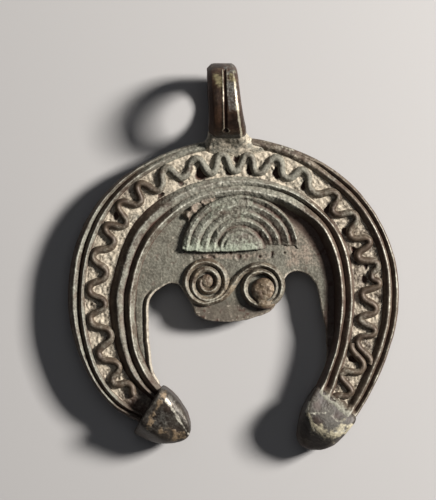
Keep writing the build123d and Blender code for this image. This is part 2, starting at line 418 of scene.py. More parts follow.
# dark brown of dirt in grooves and pits, also laid on as painted shade
HOLLOW_AND_SHADE_BROWN = (0.054, 0.024, 0.015, 1)


def patina_group():
    """The shared patina: from masks and five colours to colour, roughness, metallic and height.

    A base mottled in two browns gets its coats one over the other, then a stipple, and a dark brown: dirt in
    grooves and pits, and painted shade.
    """
    tree = bpy.data.node_groups.new("patina", "ShaderNodeTree")
    for in_out, kind, names in PATINA_SOCKETS:
        for name in names:
            tree.interface.new_socket(name, in_out=in_out, socket_type=kind)
    add = Wiring(tree)
    given = add.nodes.new("NodeGroupInput").outputs
    result = add.nodes.new("NodeGroupOutput").inputs
    place = add.nodes.new("ShaderNodeTexCoord").outputs["Object"]

    # cells of about 4, 1 and 0.4 mm
    coarse = add.noise(place, 230, 3)
    mottle = add.noise(place, 900, 4)
    speck = add.noise(place, 2400, 2)
    blot = add.maths("SUBTRACT", mottle, 0.5)
    grain = add.maths("MULTIPLY", add.maths("SUBTRACT", speck, 0.5), 0.8)

    tone = add.maths("MULTIPLY_ADD", coarse, 0.6, add.maths("MULTIPLY", mottle, 0.4))
    colour = add.mix(add.remap(tone, 0.36, 0.64), given["Dark"], given["Brown"])
    coats = {}
    for paint, mask, blotted, grained, low, high in PATINA_COATS:
        frayed = add.maths("MULTIPLY_ADD", blot, blotted, given[mask])
        frayed = add.maths("MULTIPLY_ADD", grain, grained, frayed)
        coats[paint] = add.remap(frayed, low, high)
        colour = add.mix(coats[paint], colour, given[paint])
    stipple = add.maths("SUBTRACT", add.remap(speck, 0.32, 0.68), 0.5)
    stipple = add.maths("MULTIPLY_ADD", stipple, given["Grain"], 1.0)
    grey = add.nodes.new("ShaderNodeCombineColor")
    add.feed(grey.inputs, (stipple, stipple, stipple))
    colour = add.mix(1.0, colour, grey.outputs[0], "MULTIPLY")
    # dark brown over the hollow mask: dirt in grooves and pits, and painted shade
    colour = add.mix(given["Hollow"], colour, HOLLOW_AND_SHADE_BROWN)

    dull = add.maths("MAXIMUM", add.maths("MAXIMUM", coats["Dust"], coats["Pale"]), given["Hollow"])
    metallic = add.total(0.25, (given["Gloss"], 0.3), (dull, -0.35))
    roughness = add.total(0.56, (given["Gloss"], -0.14), (dull, 0.2), (coats["WornAndHighlight"], -0.08), (blot, 0.15))
    height = add.maths("MULTIPLY_ADD", mottle, 0.7, speck)
    height = add.maths("MULTIPLY", height, add.maths("MULTIPLY_ADD", dull, 0.75, 0.25))
    outputs = [result[name] for name in ("Color", "Roughness", "Metallic", "Height")]
    add.feed(outputs, (colour, roughness, metallic, height))
    return tree


PATINA = patina_group()
BUMP_STRENGTH = 0.6


def bronze(name, dark, brown, worn, pale, dust, grain=0.5, bump=0.00012, gloss=0.0):
    """A material of the shared patina with its own colours. The bump is the grain's depth in metres."""
    material = bpy.data.materials.new(name)
    material.use_nodes = True
    add = Wiring(material.node_tree)
    group = add.nodes.new("ShaderNodeGroup")
    group.node_tree = PATINA
    paints = {"Dark": dark, "Brown": brown, "WornAndHighlight": worn, "Pale": pale, "Dust": dust}
    for socket, colour in paints.items():
        group.inputs[socket].default_value = (*colour, 1)
    group.inputs["Grain"].default_value = grain
    group.inputs["Gloss"].default_value = gloss
    for socket, mask in zip(("Crest", "Hollow", "Dusty", "Paled"), MASKS):
        attribute = add.nodes.new("ShaderNodeAttribute")
        attribute.attribute_name = mask
        add.links.new(attribute.outputs["Fac"], group.inputs[socket])
    relief = add.nodes.new("ShaderNodeBump")
    relief.inputs["Strength"].default_value = BUMP_STRENGTH
    relief.inputs["Distance"].default_value = bump
    add.links.new(group.outputs["Height"], relief.inputs["Height"])
    shader = add.nodes["Principled BSDF"].inputs
    add.links.new(group.outputs["Color"], shader["Base Color"])
    add.links.new(group.outputs["Roughness"], shader["Roughness"])
    add.links.new(group.outputs["Metallic"], shader["Metallic"])
    add.links.new(relief.outputs["Normal"], shader["Normal"])
    return material


LIMB_LOOK = bronze(
    "bronze_limb", grain=0.45, bump=0.00013,
    dark=(0.058, 0.041, 0.029), brown=(0.125, 0.098, 0.072), worn=(0.42, 0.41, 0.35),
    pale=(0.175, 0.169, 0.137), dust=(0.40, 0.345, 0.268),
)
WIRE_LOOK = bronze(
    "bronze_wire", grain=0.4,
    dark=(0.056, 0.037, 0.025), brown=(0.100, 0.073, 0.050), worn=(0.24, 0.215, 0.17),
    pale=(0.170, 0.163, 0.132), dust=(0.30, 0.255, 0.20),
)
PLATE_LOOK = bronze(
    "bronze_plate", grain=0.35,
    dark=(0.095, 0.086, 0.067), brown=(0.135, 0.124, 0.096), worn=(0.36, 0.32, 0.26),
    pale=(0.142, 0.136, 0.108), dust=(0.23, 0.18, 0.14),
)
FAN_LOOK = bronze(
    "bronze_fan", grain=0.45, bump=0.00015,
    dark=(0.075, 0.062, 0.048), brown=(0.13, 0.112, 0.088), worn=(0.40, 0.40, 0.34),
    pale=(0.172, 0.170, 0.137), dust=(0.24, 0.262, 0.203),
)
SCROLL_LOOK = bronze(
    "bronze_scroll", gloss=0.25,
    dark=(0.060, 0.040, 0.027), brown=(0.13, 0.098, 0.068), worn=(0.40, 0.38, 0.31),
    pale=(0.165, 0.155, 0.125), dust=(0.20, 0.145, 0.09),
)
BOSS_LOOK = bronze(
    "bronze_boss",
    dark=(0.080, 0.055, 0.033), brown=(0.185, 0.130, 0.076), worn=(0.30, 0.25, 0.18),
    pale=(0.18, 0.155, 0.12), dust=(0.25, 0.18, 0.11),
)
LEFT_KNOB_LOOK = bronze(
    "bronze_left_knob", grain=0.4, gloss=1.0,
    dark=(0.024, 0.018, 0.015), brown=(0.062, 0.051, 0.041), worn=(0.50, 0.47, 0.40),
    pale=(0.068, 0.066, 0.057), dust=(0.15, 0.105, 0.062),
)
RIGHT_KNOB_LOOK = bronze(
    "bronze_right_knob", grain=0.4, gloss=0.2,
    dark=(0.022, 0.016, 0.013), brown=(0.046, 0.036, 0.027), worn=(0.42, 0.405, 0.335),
    pale=(0.052, 0.047, 0.038), dust=(0.32, 0.285, 0.20),
)
BAIL_LOOK = bronze(
    "bronze_bail", grain=0.3, gloss=1.0,
    dark=(0.024, 0.015, 0.011), brown=(0.080, 0.043, 0.026), worn=(0.48, 0.44, 0.34),
    pale=(0.105, 0.105, 0.097), dust=(0.15, 0.130, 0.068),
)

# Limb: radii of the lines where its beads meet, from the crescent's centre, by angle from +X
CENTRE = np.array([0.0, -6.66])
LIMB_LINES = np.array([
    # angle, outer edge, groove 1, channel start, channel end, groove 2, inner foot
    (-56, 31.3, 30.5, 29.2, 26.3, 24.8, 23.6),
    (-50, 31.35, 30.5, 29.1, 25.6, 23.9, 22.4),
    (-45, 31.1, 30.2, 28.7, 25.1, 23.4, 21.6),
    (-40, 30.7, 29.7, 28.1, 24.3, 22.6, 21.0),
    (-35, 30.3, 29.3, 27.6, 23.6, 22.0, 20.4),
    (-30, 30.0, 28.9, 27.3, 23.1, 21.5, 19.9),
    (-20, 29.7, 28.6, 27.0, 22.3, 20.6, 19.1),
    (-10, 29.65, 28.45, 26.85, 21.75, 20.2, 18.2),
    (0, 29.65, 28.4, 26.8, 21.55, 20.0, 18.0),
    (10, 29.65, 28.5, 26.95, 21.6, 20.0, 18.0),
    (20, 29.5, 28.45, 26.9, 21.8, 20.2, 18.1),
    (30, 29.3, 28.25, 26.7, 22.0, 20.5, 18.3),
    (40, 29.05, 28.0, 26.5, 21.95, 20.6, 18.5),
    (50, 28.7, 27.75, 26.25, 21.85, 20.5, 18.2),
    (60, 28.4, 27.75, 26.3, 21.65, 20.35, 18.0),
    (70, 28.2, 27.6, 26.4, 21.35, 20.0, 17.9),
    (85, 28.2, 27.5, 26.35, 21.15, 19.55, 17.8),
    (100, 28.0, 27.4, 26.25, 21.1, 19.3, 17.7),
    (110, 28.15, 27.5, 26.4, 21.25, 19.3, 17.7),
    (120, 28.4, 27.75, 26.5, 21.35, 19.2, 17.5),
    (130, 29.0, 28.2, 26.8, 21.7, 19.2, 17.4),
    (140, 29.5, 28.45, 27.0, 21.95, 19.35, 17.3),
    (150, 29.8, 28.5, 26.95, 22.0, 19.35, 17.3),
    (160, 29.95, 28.35, 26.9, 21.9, 19.3, 17.4),
    (170, 30.0, 28.2, 26.9, 21.95, 19.4, 17.5),
    (180, 30.0, 28.15, 26.95, 22.45, 19.8, 17.7),
    (190, 30.1, 28.4, 27.1, 22.7, 20.1, 18.2),
    (200, 30.1, 28.8, 27.4, 23.2, 20.7, 18.8),
    (210, 30.1, 29.2, 28.0, 23.75, 21.6, 19.8),
    (217, 30.1, 29.25, 28.1, 24.2, 22.2, 20.2),
    (225, 29.75, 28.9, 27.8, 24.2, 22.8, 20.9),
    (232, 28.9, 28.0, 27.0, 24.1, 23.0, 21.4),
    (240, 28.2, 27.4, 26.6, 24.2, 23.2, 21.8),
])
# How high the beads stand and how far their grooves are filled, by angle
LIMB_RELIEF = np.array([
    # angle, height of the beads, filling of groove 1, filling of groove 2
    (-56, 1.0, 0.0, 0.0),
    (50, 1.0, 0.0, 0.0),
    (56, 1.0, 0.15, 0.1),
    (60, 0.95, 0.85, 0.15),
    (80, 0.85, 1.0, 0.5),
    (90, 0.8, 0.8, 0.7),
    (112, 0.82, 0.65, 0.75),
    (126, 0.95, 0.2, 0.45),
    (138, 1.0, 0.0, 0.4),
    (205, 1.0, 0.0, 0.4),
    (222, 1.0, 0.0, 0.15),
    (240, 1.0, 0.0, 0.0),
])
LIMB_START, LIMB_END = 239, -54.5
LIMB_ROWS = 740
LIMB_MIDDLE_RADIUS = 25
# the spans from line to line, and all behind them
OUTER_BEAD, SECOND_BEAD, CHANNEL, THIRD_BEAD, INNER_BEAD, BACK = range(6)
# each span: height of its bead, share that a filled groove takes off it, flatness of its top,
# steepness of its sides, points across
LIMB_SPANS = (
    (0.88, 0.75, 1.5, 1.2, 18),
    (1.08, 0.7, 1.55, 1.2, 17),
    (0, 0, 1, 1, 40),
    (1.25, 0.6, 1.45, 1.15, 20),
    (1.82, 0.3, 1.45, 1.1, 22),
)
LIMB_BACK = 3.6
EDGE_LEVEL = 5.25
FLOOR_LEVEL, FLOOR_TOP_RISE = 5.25, 0.3
FOOT_LEVEL, FOOT_JOINED_RISE = 4.85, 1.0
# levels of the grooves, and what filling adds to them
GROOVE_1_LEVEL, GROOVE_1_FILLING = 5.3, 0.75
GROOVE_2_LEVEL, GROOVE_2_FILLING = 5.6, 0.95
# the back's outer corner: out from the edge, up from the back
BACK_CORNER = ((-0.3, 0), (-0.06, 0.2), (0.03, 0.7), (0.02, 1.3))
# power of the share that moves the beads' crests outwards on the right side and inwards on the left
SKEW_LEFT, SKEW_RIGHT = 1.2, 0.68
# hollows in the channel: angle, radius, half its length along the limb and across, share of the depth
PIT_DEPTH = 0.75
PITS = (
    (146.0, 25.6, 0.9, 0.55, 0.5), (126.6, 22.3, 0.7, 0.45, 0.4), (115.8, 22.4, 0.5, 0.8, 0.4),
    (105.4, 22.5, 1.15, 1.25, 1.0), (92.6, 22.6, 0.6, 1.35, 0.9), (89.2, 24.5, 0.6, 0.8, 0.6),
    (82.6, 23.1, 0.6, 1.45, 0.9), (70.3, 23.4, 0.8, 1.5, 1.0), (57.2, 23.6, 0.5, 1.3, 0.8),
    (42.3, 23.0, 0.5, 1.1, 0.8), (29.6, 23.0, 0.7, 0.6, 0.6), (19.2, 23.0, 0.9, 0.6, 0.8),
    (12.6, 24.2, 0.8, 0.4, 0.5), (6.3, 23.6, 0.6, 0.5, 0.5), (1.6, 23.2, 0.5, 0.6, 0.6),
    (-29.0, 24.4, 0.5, 0.9, 0.7),
)
# the knobs' bases in plan and the way they point
LEFT_BASE, LEFT_HEADING = np.array([-14.67, -27.63]), -31.7
RIGHT_BASE, RIGHT_HEADING = np.array([17.55, -27.36]), -129.7
RIGHT_AXIS = np.array([cos(radians(RIGHT_HEADING)), sin(radians(RIGHT_HEADING))])
# level to which the limb swells up at the right knob
END_LEVEL = 7.7


def bead(t, flat, steep):
    """Section of a bar: 0 at both ends, 1 in the middle, flat on top and steep at its sides."""
    return (1 - np.abs(2 * t - 1) ** flat) ** (1 / steep)


def on_limb(angle, radius):
    """Plan points at angles from +X in degrees and radii from the crescent's centre."""
    return polar(CENTRE, radius, np.radians(angle))


def limb_sections():
    """The limb's even form: rows along the crescent, of points round its section from the outer edge.

    At the share t of the span between two lines the height is the straight line between their levels
    plus the bead's section times its height. The inner wall, the back and the outer wall follow.
    """
    angle = np.linspace(LIMB_START, LIMB_END, LIMB_ROWS)[:, None]
    along = np.radians(angle) * LIMB_MIDDLE_RADIUS
    lines = curve_through(angle[:, 0], LIMB_LINES[:, 0], LIMB_LINES[:, 1:])
    for k in range(lines.shape[1]):
        lines[:, [k]] += waver(along, (0.07, 4.0, 20 + k), (0.035, 1.3, 40 + k))
    relief, fill_1, fill_2 = (np.interp(angle, LIMB_RELIEF[:, 0], LIMB_RELIEF[:, k]) for k in (1, 2, 3))
    left_side, right_side = ease(angle, 112, 138), ease(angle, 52, 34)
    joined = between(angle, 62, 72, 115, 122)
    skew = 1 + (SKEW_LEFT - 1) * left_side + (SKEW_RIGHT - 1) * right_side
    level_1 = GROOVE_1_LEVEL + GROOVE_1_FILLING * fill_1
    level_2 = GROOVE_2_LEVEL + GROOVE_2_FILLING * fill_2 * relief
    floor = FLOOR_LEVEL + FLOOR_TOP_RISE * between(angle, 48, 60, 118, 132)
    foot = FOOT_LEVEL + FOOT_JOINED_RISE * joined
    levels = (EDGE_LEVEL, level_1, floor, floor, level_2, foot)
    fills = (fill_1, fill_1, 0, fill_2, fill_2)

    radius, height, span, share = [], [], [], []
    for k, (rise, loss, flat, steep, count) in enumerate(LIMB_SPANS):
        t = np.arange(count) / count
        t = t if k == CHANNEL else (1 - np.cos(np.pi * t)) / 2
        seed = 60 + k - (k > CHANNEL)
        wave = waver(along, (0.10, 3.2, seed), (0.02, 0.9, seed + 10), start=1)
        rise = rise * relief * wave * (1 - loss * fills[k])
        rise = rise * (1 - 0.45 * joined) if k == INNER_BEAD else rise
        radius.append(lines[:, [k]] + (lines[:, [k + 1]] - lines[:, [k]]) * t)
        height.append(levels[k] + (levels[k + 1] - levels[k]) * t + rise * bead(t**skew, flat, steep))
        span.append(np.full(count, k))
        share.append(t)

    outer, inner = lines[:, :1], lines[:, -1:]
    behind = [(inner, foot), (inner, foot - 0.6), (inner + 0.08, LIMB_BACK + 0.2), (inner + 0.3, LIMB_BACK)]
    behind += [(inner + (outer - inner) * t, LIMB_BACK) for t in (0.15, 0.3, 0.45, 0.6, 0.75, 0.88)]
    behind += [(outer + out, LIMB_BACK + up) for out, up in BACK_CORNER]
    for r, z in behind:
        radius.append(r)
        height.append(np.broadcast_to(z, r.shape))
        span.append([BACK])
        share.append([0])
    return SimpleNamespace(
        angle=angle, along=along, outer=outer, inner=inner, skew=skew, fill_1=fill_1, fill_2=fill_2,
        radius=np.hstack(radius), height=np.hstack(height),
        span=np.concatenate(span), share=np.concatenate(share),
        left_side=left_side, right_side=right_side, top=between(angle, 42, 60, 118, 136),
    )


def limb_surface(limb):
    """The limb's points with a rough floor and top, its pits, and the swell at the right knob."""
    plan = on_limb(limb.angle, limb.radius)
    at = flat_points(plan)
    front = limb.span < BACK
    floor_at = (limb.span == CHANNEL) * ease(np.minimum(limb.share, 1 - limb.share), 0, 0.05)
    height = limb.height + floor_at * (0.15 * rough(at, 1.3, 90) + 0.22 * rough(at, 0.5, 95, 2))
    height += front * limb.top * (0.09 * rough(at, 0.9, 91) + 0.08 * rough(at, 0.4, 92, 2))
    pit = np.zeros_like(height)
    ragged = 0.25 * rough(at, 0.9, 98)
    for middle, pit_radius, half_along, half_across, deep in PITS:
        outwards = (limb.radius - pit_radius) / half_across
        taper = half_along * (1 - 0.45 * np.clip(outwards, -1, 1))
        far = np.hypot((limb.angle - middle) * radians(1) * pit_radius / taper, outwards)
        pit = np.maximum(pit, PIT_DEPTH * deep * ease(far + ragged, 1.15, 0.55))
    height -= pit * (limb.span < INNER_BEAD)
    across = np.clip((limb.radius - limb.inner) / (limb.outer - limb.inner), 0, 1)
    swell = ease((plan - RIGHT_BASE) @ RIGHT_AXIS + 0.5 * rough(at, 1.2, 93), -2.8, -0.9)
    swell = swell * ease(np.minimum(across, 1 - across), 0, 0.15) * front * (limb.angle < 0)
    height += (END_LEVEL + 0.08 * rough(at, 0.6, 94) - height) * swell
    limb.at, limb.pit, limb.swell = at, pit, swell
    return np.concatenate([plan, height[..., None]], axis=-1)


def limb_masks(limb):
    """Crests of wear and painted highlight, dark grooves and pits, painted shade and light, a dusty channel,
    and a pale green film over the top.
    """
    angle, at, pit, swell, top = limb.angle, limb.at, limb.pit, limb.swell, limb.top
    span, share, left_side, right_side = limb.span, limb.share, limb.left_side, limb.right_side
    raised = (span < BACK) & (span != CHANNEL)
    outer_beads = span < CHANNEL
    inner_right = right_side * (span == INNER_BEAD)
    # painted shadow of the left knob over the limb's end
    left_knob_shadow = ease(angle, 219, 227)
    peak = share**limb.skew

    # crest lines: wear on the crests, and painted highlight lines
    line = hump(peak, 0.5 - 0.06 * right_side, 0.11) + 0.25 * hump(peak, 0.86, 0.06)
    filled = np.select([outer_beads, span > CHANNEL], [limb.fill_1, 0.4 * limb.fill_2], 0)
    speckle = 0.5 * ease(noise(at, 0.4, 89), 0.5, 0.8) * top
    dim = 1 + 0.25 * left_side - 0.6 * outer_beads * hump(angle, 47, 16)
    crest = dim * line * (0.7 + 0.35 * rough(at, 2.4, 88)) * (1 - 0.8 * filled) + speckle

    groove = raised * ease(np.minimum(share, 1 - share), 0.14, 0.0)
    streak = noise(np.stack(np.broadcast_arrays(limb.along / 4, limb.radius, 0), axis=-1), 0.45, 87)
    # painted shade on the bead slopes turned from the light, and on the inner slope of the right inner bead
    shaded = right_side * ease(peak, 0.6, 0.85) + left_side * ease(peak, 0.4, 0.15)
    hollow = groove * (1 - 0.8 * top) * (1 - 0.9 * filled)
    hollow = hollow + 1.1 * np.minimum(pit / 0.4, 1) * (span < INNER_BEAD)
    hollow = hollow + raised * (0.15 * shaded + 0.3 * ease(streak, 0.2, 0.6))
    hollow = hollow + 0.6 * inner_right * ease(peak, 0.6, 0.8)
    # painted shade: the left knob's shadow, and the back darker towards that knob
    shade = 0.6 * left_knob_shadow + 0.35 * ease(angle, 205, 222) * (span == BACK)

    dust = (span == CHANNEL) * (0.8 + 0.4 * rough(at, 2.2, 97) - 0.25 * right_side)
    dust = dust - 1.5 * np.minimum(pit / 0.3, 1) + 0.15 * raised * top
    green = 0.05 + 0.5 * rough(at, 3.5, 99) + 0.25 * noise(at, 0.9, 86)
    # painted light: the lit inner halves of the left beads paler; the right inner bead kept less pale as
    # painted shade
    green = green + left_side * (0.65 * ease(peak, 0.35, 0.6) - 0.05)
    brown_rim = outer_beads * between(angle, 38, 52, 82, 88)
    film = np.maximum((0.95 - 0.75 * brown_rim) * top, green - 0.4 * inner_right)
    return {
        "crest": np.where(raised, crest, 0) * (1 - 0.5 * ease(angle, 217, 226)),
        "hollow": np.clip(np.maximum(hollow, shade), 0, 1) * (1 - swell),
        "dust": dust - 0.5 * left_knob_shadow - swell,
        "pale": np.maximum(np.where(span < BACK, film, 0.4) - pit, 0.95 * swell),
    }


def limb_mesh():
    """The limb as a closed tube, with its masks."""
    limb = limb_sections()
    return closed_tube(limb_surface(limb)), limb_masks(limb)


piece("crescent_limb", *limb_mesh(), LIMB_LOOK, 101)

# Wire: the turns of its zigzag as angle and radius, from the left knob over the top to the right rim
WIRE_TURNS = np.array([
    (225.4, 25.7), (221.4, 24.9), (215.9, 27.1), (211.9, 24.5), (204.1, 26.8), (198.3, 23.4), (190.0, 26.4),
    (184.5, 23.4), (178.2, 26.2), (171.0, 23.4), (164.8, 26.4), (157.3, 23.6), (152.6, 26.2), (147.5, 23.3),
    (142.0, 26.4), (136.2, 23.7), (131.2, 26.2), (125.9, 23.2), (118.8, 25.8), (113.9, 23.0), (105.9, 25.3),
    (100.7, 22.2), (95.3, 25.3), (89.8, 22.2), (84.2, 25.2), (79.2, 22.2), (72.7, 25.6), (65.9, 22.9),
    (60.5, 25.5), (52.6, 23.2), (44.0, 25.8), (39.7, 23.1), (32.8, 26.0), (26.8, 23.4), (21.4, 26.1),
    (16.7, 23.2), (11.6, 26.3), (7.1, 24.9), (4.1, 26.1), (-0.1, 23.0), (-6.5, 25.6), (-11.4, 23.1),
    (-14.9, 26.2), (-20.5, 23.7), (-27.5, 27.5),
])
SHORT_WIRE_TURNS = np.array([
    (-22.6, 22.9), (-30.3, 26.7), (-37.1, 24.0), (-40.2, 27.5), (-47.0, 25.8), (-49.1, 28.6),
])
WIRE_HALF_WIDTH = 0.68
WIRE_HEIGHT = 1.15
WIRE_LEVEL = 5.2
# handle of a curve as a share of its run, the least run, and the reach of the smoothing bell
WIRE_SWELL = 0.62
WIRE_LEAST_RUN = 1.0
WIRE_REACH = 0.22
WIRE_SPACING = 0.09


def wire_line(turns):
    """Bezier curves from turn to turn, whose handles lie along the limb, so that each turn is round."""
    angle, radius = turns.T
    place = on_limb(angle, radius)
    onward = np.stack([np.sin(np.radians(angle)), -np.cos(np.radians(angle))], axis=-1)
    run = np.radians(angle[:-1] - angle[1:]) * (radius[:-1] + radius[1:]) / 2
    reach = WIRE_SWELL * np.maximum(run, WIRE_LEAST_RUN)[:, None, None]
    t = np.linspace(0, 1, 24, endpoint=False)[None, :, None]
    first, last = place[:-1, None], place[1:, None]
    curve = (
        (1 - t) ** 3 * first + 3 * (1 - t) ** 2 * t * (first + reach * onward[:-1, None])
        + 3 * (1 - t) * t**2 * (last - reach * onward[1:, None]) + t**3 * last
    )
    return bend(np.vstack([curve.reshape(-1, 2), place[-1:]]), WIRE_SPACING, WIRE_REACH)


def wire_mesh(turns, seed):
    """A wire on the channel's floor: a rounded bar along the wave, thickest over the top of the limb."""
    line = wire_line(turns)
    along = np.arange(len(line)) * WIRE_SPACING
    angle = np.degrees(np.arctan2(line[:, 1] - CENTRE[1], line[:, 0]))
    top = between(angle, 42, 62, 112, 136)
    half_width = WIRE_HALF_WIDTH * waver(along, (0.16, 2.2, seed), (0.09, 0.7, seed + 1), start=1)
    swelling = waver(along, (0.10, 2.7, seed + 2), (0.05, 0.8, seed + 3), start=1)
    height = (WIRE_HEIGHT + 0.05 * top) * swelling
    grid, up = ribbon(line, half_width * (1 + 0.08 * top), height, WIRE_LEVEL, 2.0)
    at = flat_points(grid[..., :2])
    masks = {
        "crest": 0.2 * ease(up, 0.85, 1.0) * (0.5 + 0.6 * noise(at, 1.6, seed + 8)),
        # the wire's foot darkened as painted shade
        "hollow": 0.6 * ease(up, 0.15, -0.1),
        "pale": 0.2 + 0.6 * top[:, None] + 0.4 * rough(at, 2.6, seed + 7),
        "dust": 0.6 * ease(up + 0.2 * rough(at, 0.8, seed + 9), 0.45, 0.2),
    }
    return closed_tube(grid), masks


for name, turns, seed in (("channel_wire", WIRE_TURNS, 201), ("channel_wire_end", SHORT_WIRE_TURNS, 231)):
    piece(name, *wire_mesh(turns, seed), WIRE_LOOK, seed)

# Plate: the free outline from the right strip's tip round the notches and the lobe to the left strip's tip
FREE_EDGE = np.array([
    (16.5, -23.4), (16.1, -20.7), (16.3, -19.6), (16.65, -18.5), (16.65, -16.4), (16.5, -13.1), (16.3, -12.1),
    (15.9, -10.6), (15.6, -9.2), (15.4, -7.7), (15.2, -6.3), (14.7, -4.9), (14.1, -4.1), (13.6, -3.4),
    (12.5, -2.8), (11.2, -2.5), (10.0, -2.8), (9.45, -3.4), (8.9, -4.1), (8.7, -5.6), (8.2, -7.0),
    (7.5, -8.5), (7.1, -9.2), (6.4, -9.9), (4.6, -10.6), (2.2, -11.35), (-0.2, -11.7), (-2.2, -11.75),
    (-4.2, -11.6), (-5.5, -11.3), (-6.75, -10.6), (-7.3, -9.9), (-7.65, -8.5), (-8.2, -7.7), (-8.55, -7.0),
    (-9.1, -6.3), (-9.5, -5.6), (-10.2, -4.9), (-11.3, -4.7), (-12.3, -4.9), (-13.4, -5.6), (-14.3, -6.3),
    (-14.85, -7.0), (-15.4, -7.8), (-15.5, -8.6), (-15.55, -10.4), (-15.5, -13.1), (-15.4, -15.3),
    (-15.2, -16.4), (-15.0, -18.5), (-14.85, -19.6), (-14.65, -20.7), (-14.0, -21.8), (-13.4, -22.9),
])
PLATE_TOP = 4.95
PLATE_BOTTOM = 3.8
PLATE_SPACING = 0.15
PLATE_EDGE_SPACING = 0.12
PLATE_EDGE_RADIUS = 0.25
# how far the plate reaches under the limb
PLATE_LAP = 1.1
# height of the lip on the left strip's edge
STRIP_LIP = 0.5
FAN_CENTRE = np.array([1.1, 1.35])
# where rough bronze joins the fan to the limb, and its reach
BRIDGE = ((-8.5, 7.6), (-6.8, 9.5), (-4.4, 10.9))
BRIDGE_REACH = 1.2


def plate_outline():
    """The free edge, bent smooth and nicked by noise, closed by an arc that laps under the limb."""
    free = bend(FREE_EDGE, PLATE_EDGE_SPACING, 0.35)
    along = np.arange(len(free)) * PLATE_EDGE_SPACING
    free = free + left_of(free) * waver(along, (0.06, 0.9, 301), (0.03, 0.4, 302))[:, None]
    angle = np.linspace(229, -41, 400)
    foot = curve_through(angle, LIMB_LINES[:, 0], LIMB_LINES[:, 1:])[:, -1]
    return np.vstack([free, on_limb(angle, foot + PLATE_LAP)])


def near_line(points, line, reach, seed):
    """1 on an open line in plan, falling to 0 at about the reach, which noise moves in and out."""
    line = resample(line, 0.15)
    far = np.empty(len(points))
    for i in range(0, len(points), BATCH):
        far[i : i + BATCH] = np.sqrt(((points[i : i + BATCH, None] - line[None]) ** 2).sum(-1).min(1))
    return ease(far + 0.6 * reach * rough(flat_points(points), 0.9, seed, 2), reach, 0.1 * reach)


def plate_top(plan, depth):
    """A gently uneven sheet with a raised lip on the left strip's edge and a pitted band under the fan."""
    x, y = plan.T
    at = flat_points(plan)
    z = PLATE_TOP + 0.05 * rough(at, 3.5, 311) + 0.025 * rough(at, 0.7, 314)
    lip = ease(x, -13.2, -14.2) * between(y, -21.5, -19.0, -7.2, -4.9)
    z = z + lip * (STRIP_LIP * hump(depth, 0.35, 0.28) - 0.3 * hump(depth, 0.85, 0.22))
    z = z + near_line(plan, BRIDGE, BRIDGE_REACH, 325) * (1.1 + 0.3 * rough(at, 0.7, 327))
    below = FAN_CENTRE[1] - 0.5 - y
    band = ease(np.abs(x - 0.8), 10.5, 8.5) * between(below, -0.6, 0.1, 0.7, 1.9)
    return z + band * (0.08 * rough(at, 0.9, 317) - 0.3 * ease(noise(at, 0.75, 321), 0.35, 0.7))


def plate_masks(plan, depth, z):
    """A worn edge and lip, painted highlight and shadow at the lip, specks, streaks on the lobe, dirt in the
    pits, and painted shadow under the right rim.
    """
    x, y = plan.T
    at = flat_points(plan)
    lip = ease(x, -13.2, -14.2) * ease(y, -4.9, -7.2)
    sunk = ease(PLATE_TOP - 0.1 - z, 0, 0.15) * ease(np.abs(plan).max(1), 10, 9)
    low = ease(y, -7.5, -9.5)
    streak = noise(at / (1, 5, 1), 0.35, 337) * low
    lobe = low * ease(np.abs(x), 10, 9)
    right = ease(x, 8.0, 10.5) * ease(y, -2.5, -0.5)
    # painted shadow of the right rim on the plate
    shade = ease(np.hypot(x, y - CENTRE[1]), 15.9, 17.0) * ease(x, 3, 7)
    # at the lip: its edge lightened as painted highlight, the line inside it darkened as painted shadow
    return {
        "crest": 0.8 * ease(depth, 0.5, 0.15) + 0.4 * lip * ease(depth, 0.7, 0.5)
        + (0.6 + 0.5 * lobe) * ease(noise(at, 0.4, 333), 0.62, 0.85) + 0.5 * ease(streak, 0.3, 0.8),
        "hollow": 0.6 * lip * hump(depth, 0.85, 0.18) + 0.6 * sunk * ease(np.abs(y), 2.5, 2)
        + 0.45 * ease(noise(at, 0.5, 339), 0.55, 0.9)
        + lobe * (0.3 + 0.6 * ease(noise(at, 0.6, 343), 0.4, 0.8)) + 0.8 * shade,
        "pale": 0.5 + 0.45 * rough(at, 2.6, 331) - 0.2 * streak - 0.6 * lobe,
        "dust": 0.1 + 0.2 * rough(at, 1.6, 335) + 0.6 * near_line(plan, BRIDGE, BRIDGE_REACH + 0.3, 325)
        + 0.45 * right + 0.4 * ease(np.abs(x), 9, 6) * hump(y, 0.2, 0.7),
    }


def plate_mesh():
    """The plate as a slab cut to its outline, with its masks."""
    parts, plan, depth = slab(plate_outline(), PLATE_SPACING, plate_top, PLATE_BOTTOM, PLATE_EDGE_RADIUS)
    return parts, plate_masks(plan, depth, parts[0][: len(plan), 2])


piece("crescent_plate", *plate_mesh(), PLATE_LOOK, 341, FINE_DENTS)

# Fan: the cracks between its ridges, as the radius across and how far it is squashed
FAN_STEPS = ((4.3, 1.0), (5.75, 1.0), (7.3, 0.98), (9.15, 0.955), (10.6, 0.945))
FAN_RADIUS = 10.5
FAN_SQUASH = 0.945
FAN_SPACING = 0.11
FAN_EDGE_RADIUS = 0.3
FAN_BOTTOM = 4.4
FAN_LEVEL = 5.55
FAN_RIDGE_HEIGHT = 0.7
# radius of the smooth middle, share of a ridge where its crest lies, and how far that leans to the right
FAN_CORE = 2.4
FAN_CREST, FAN_CREST_LEAN = 0.55, 0.22
# a lump on the left ridges
FAN_LUMP = (-3.1, 4.2)


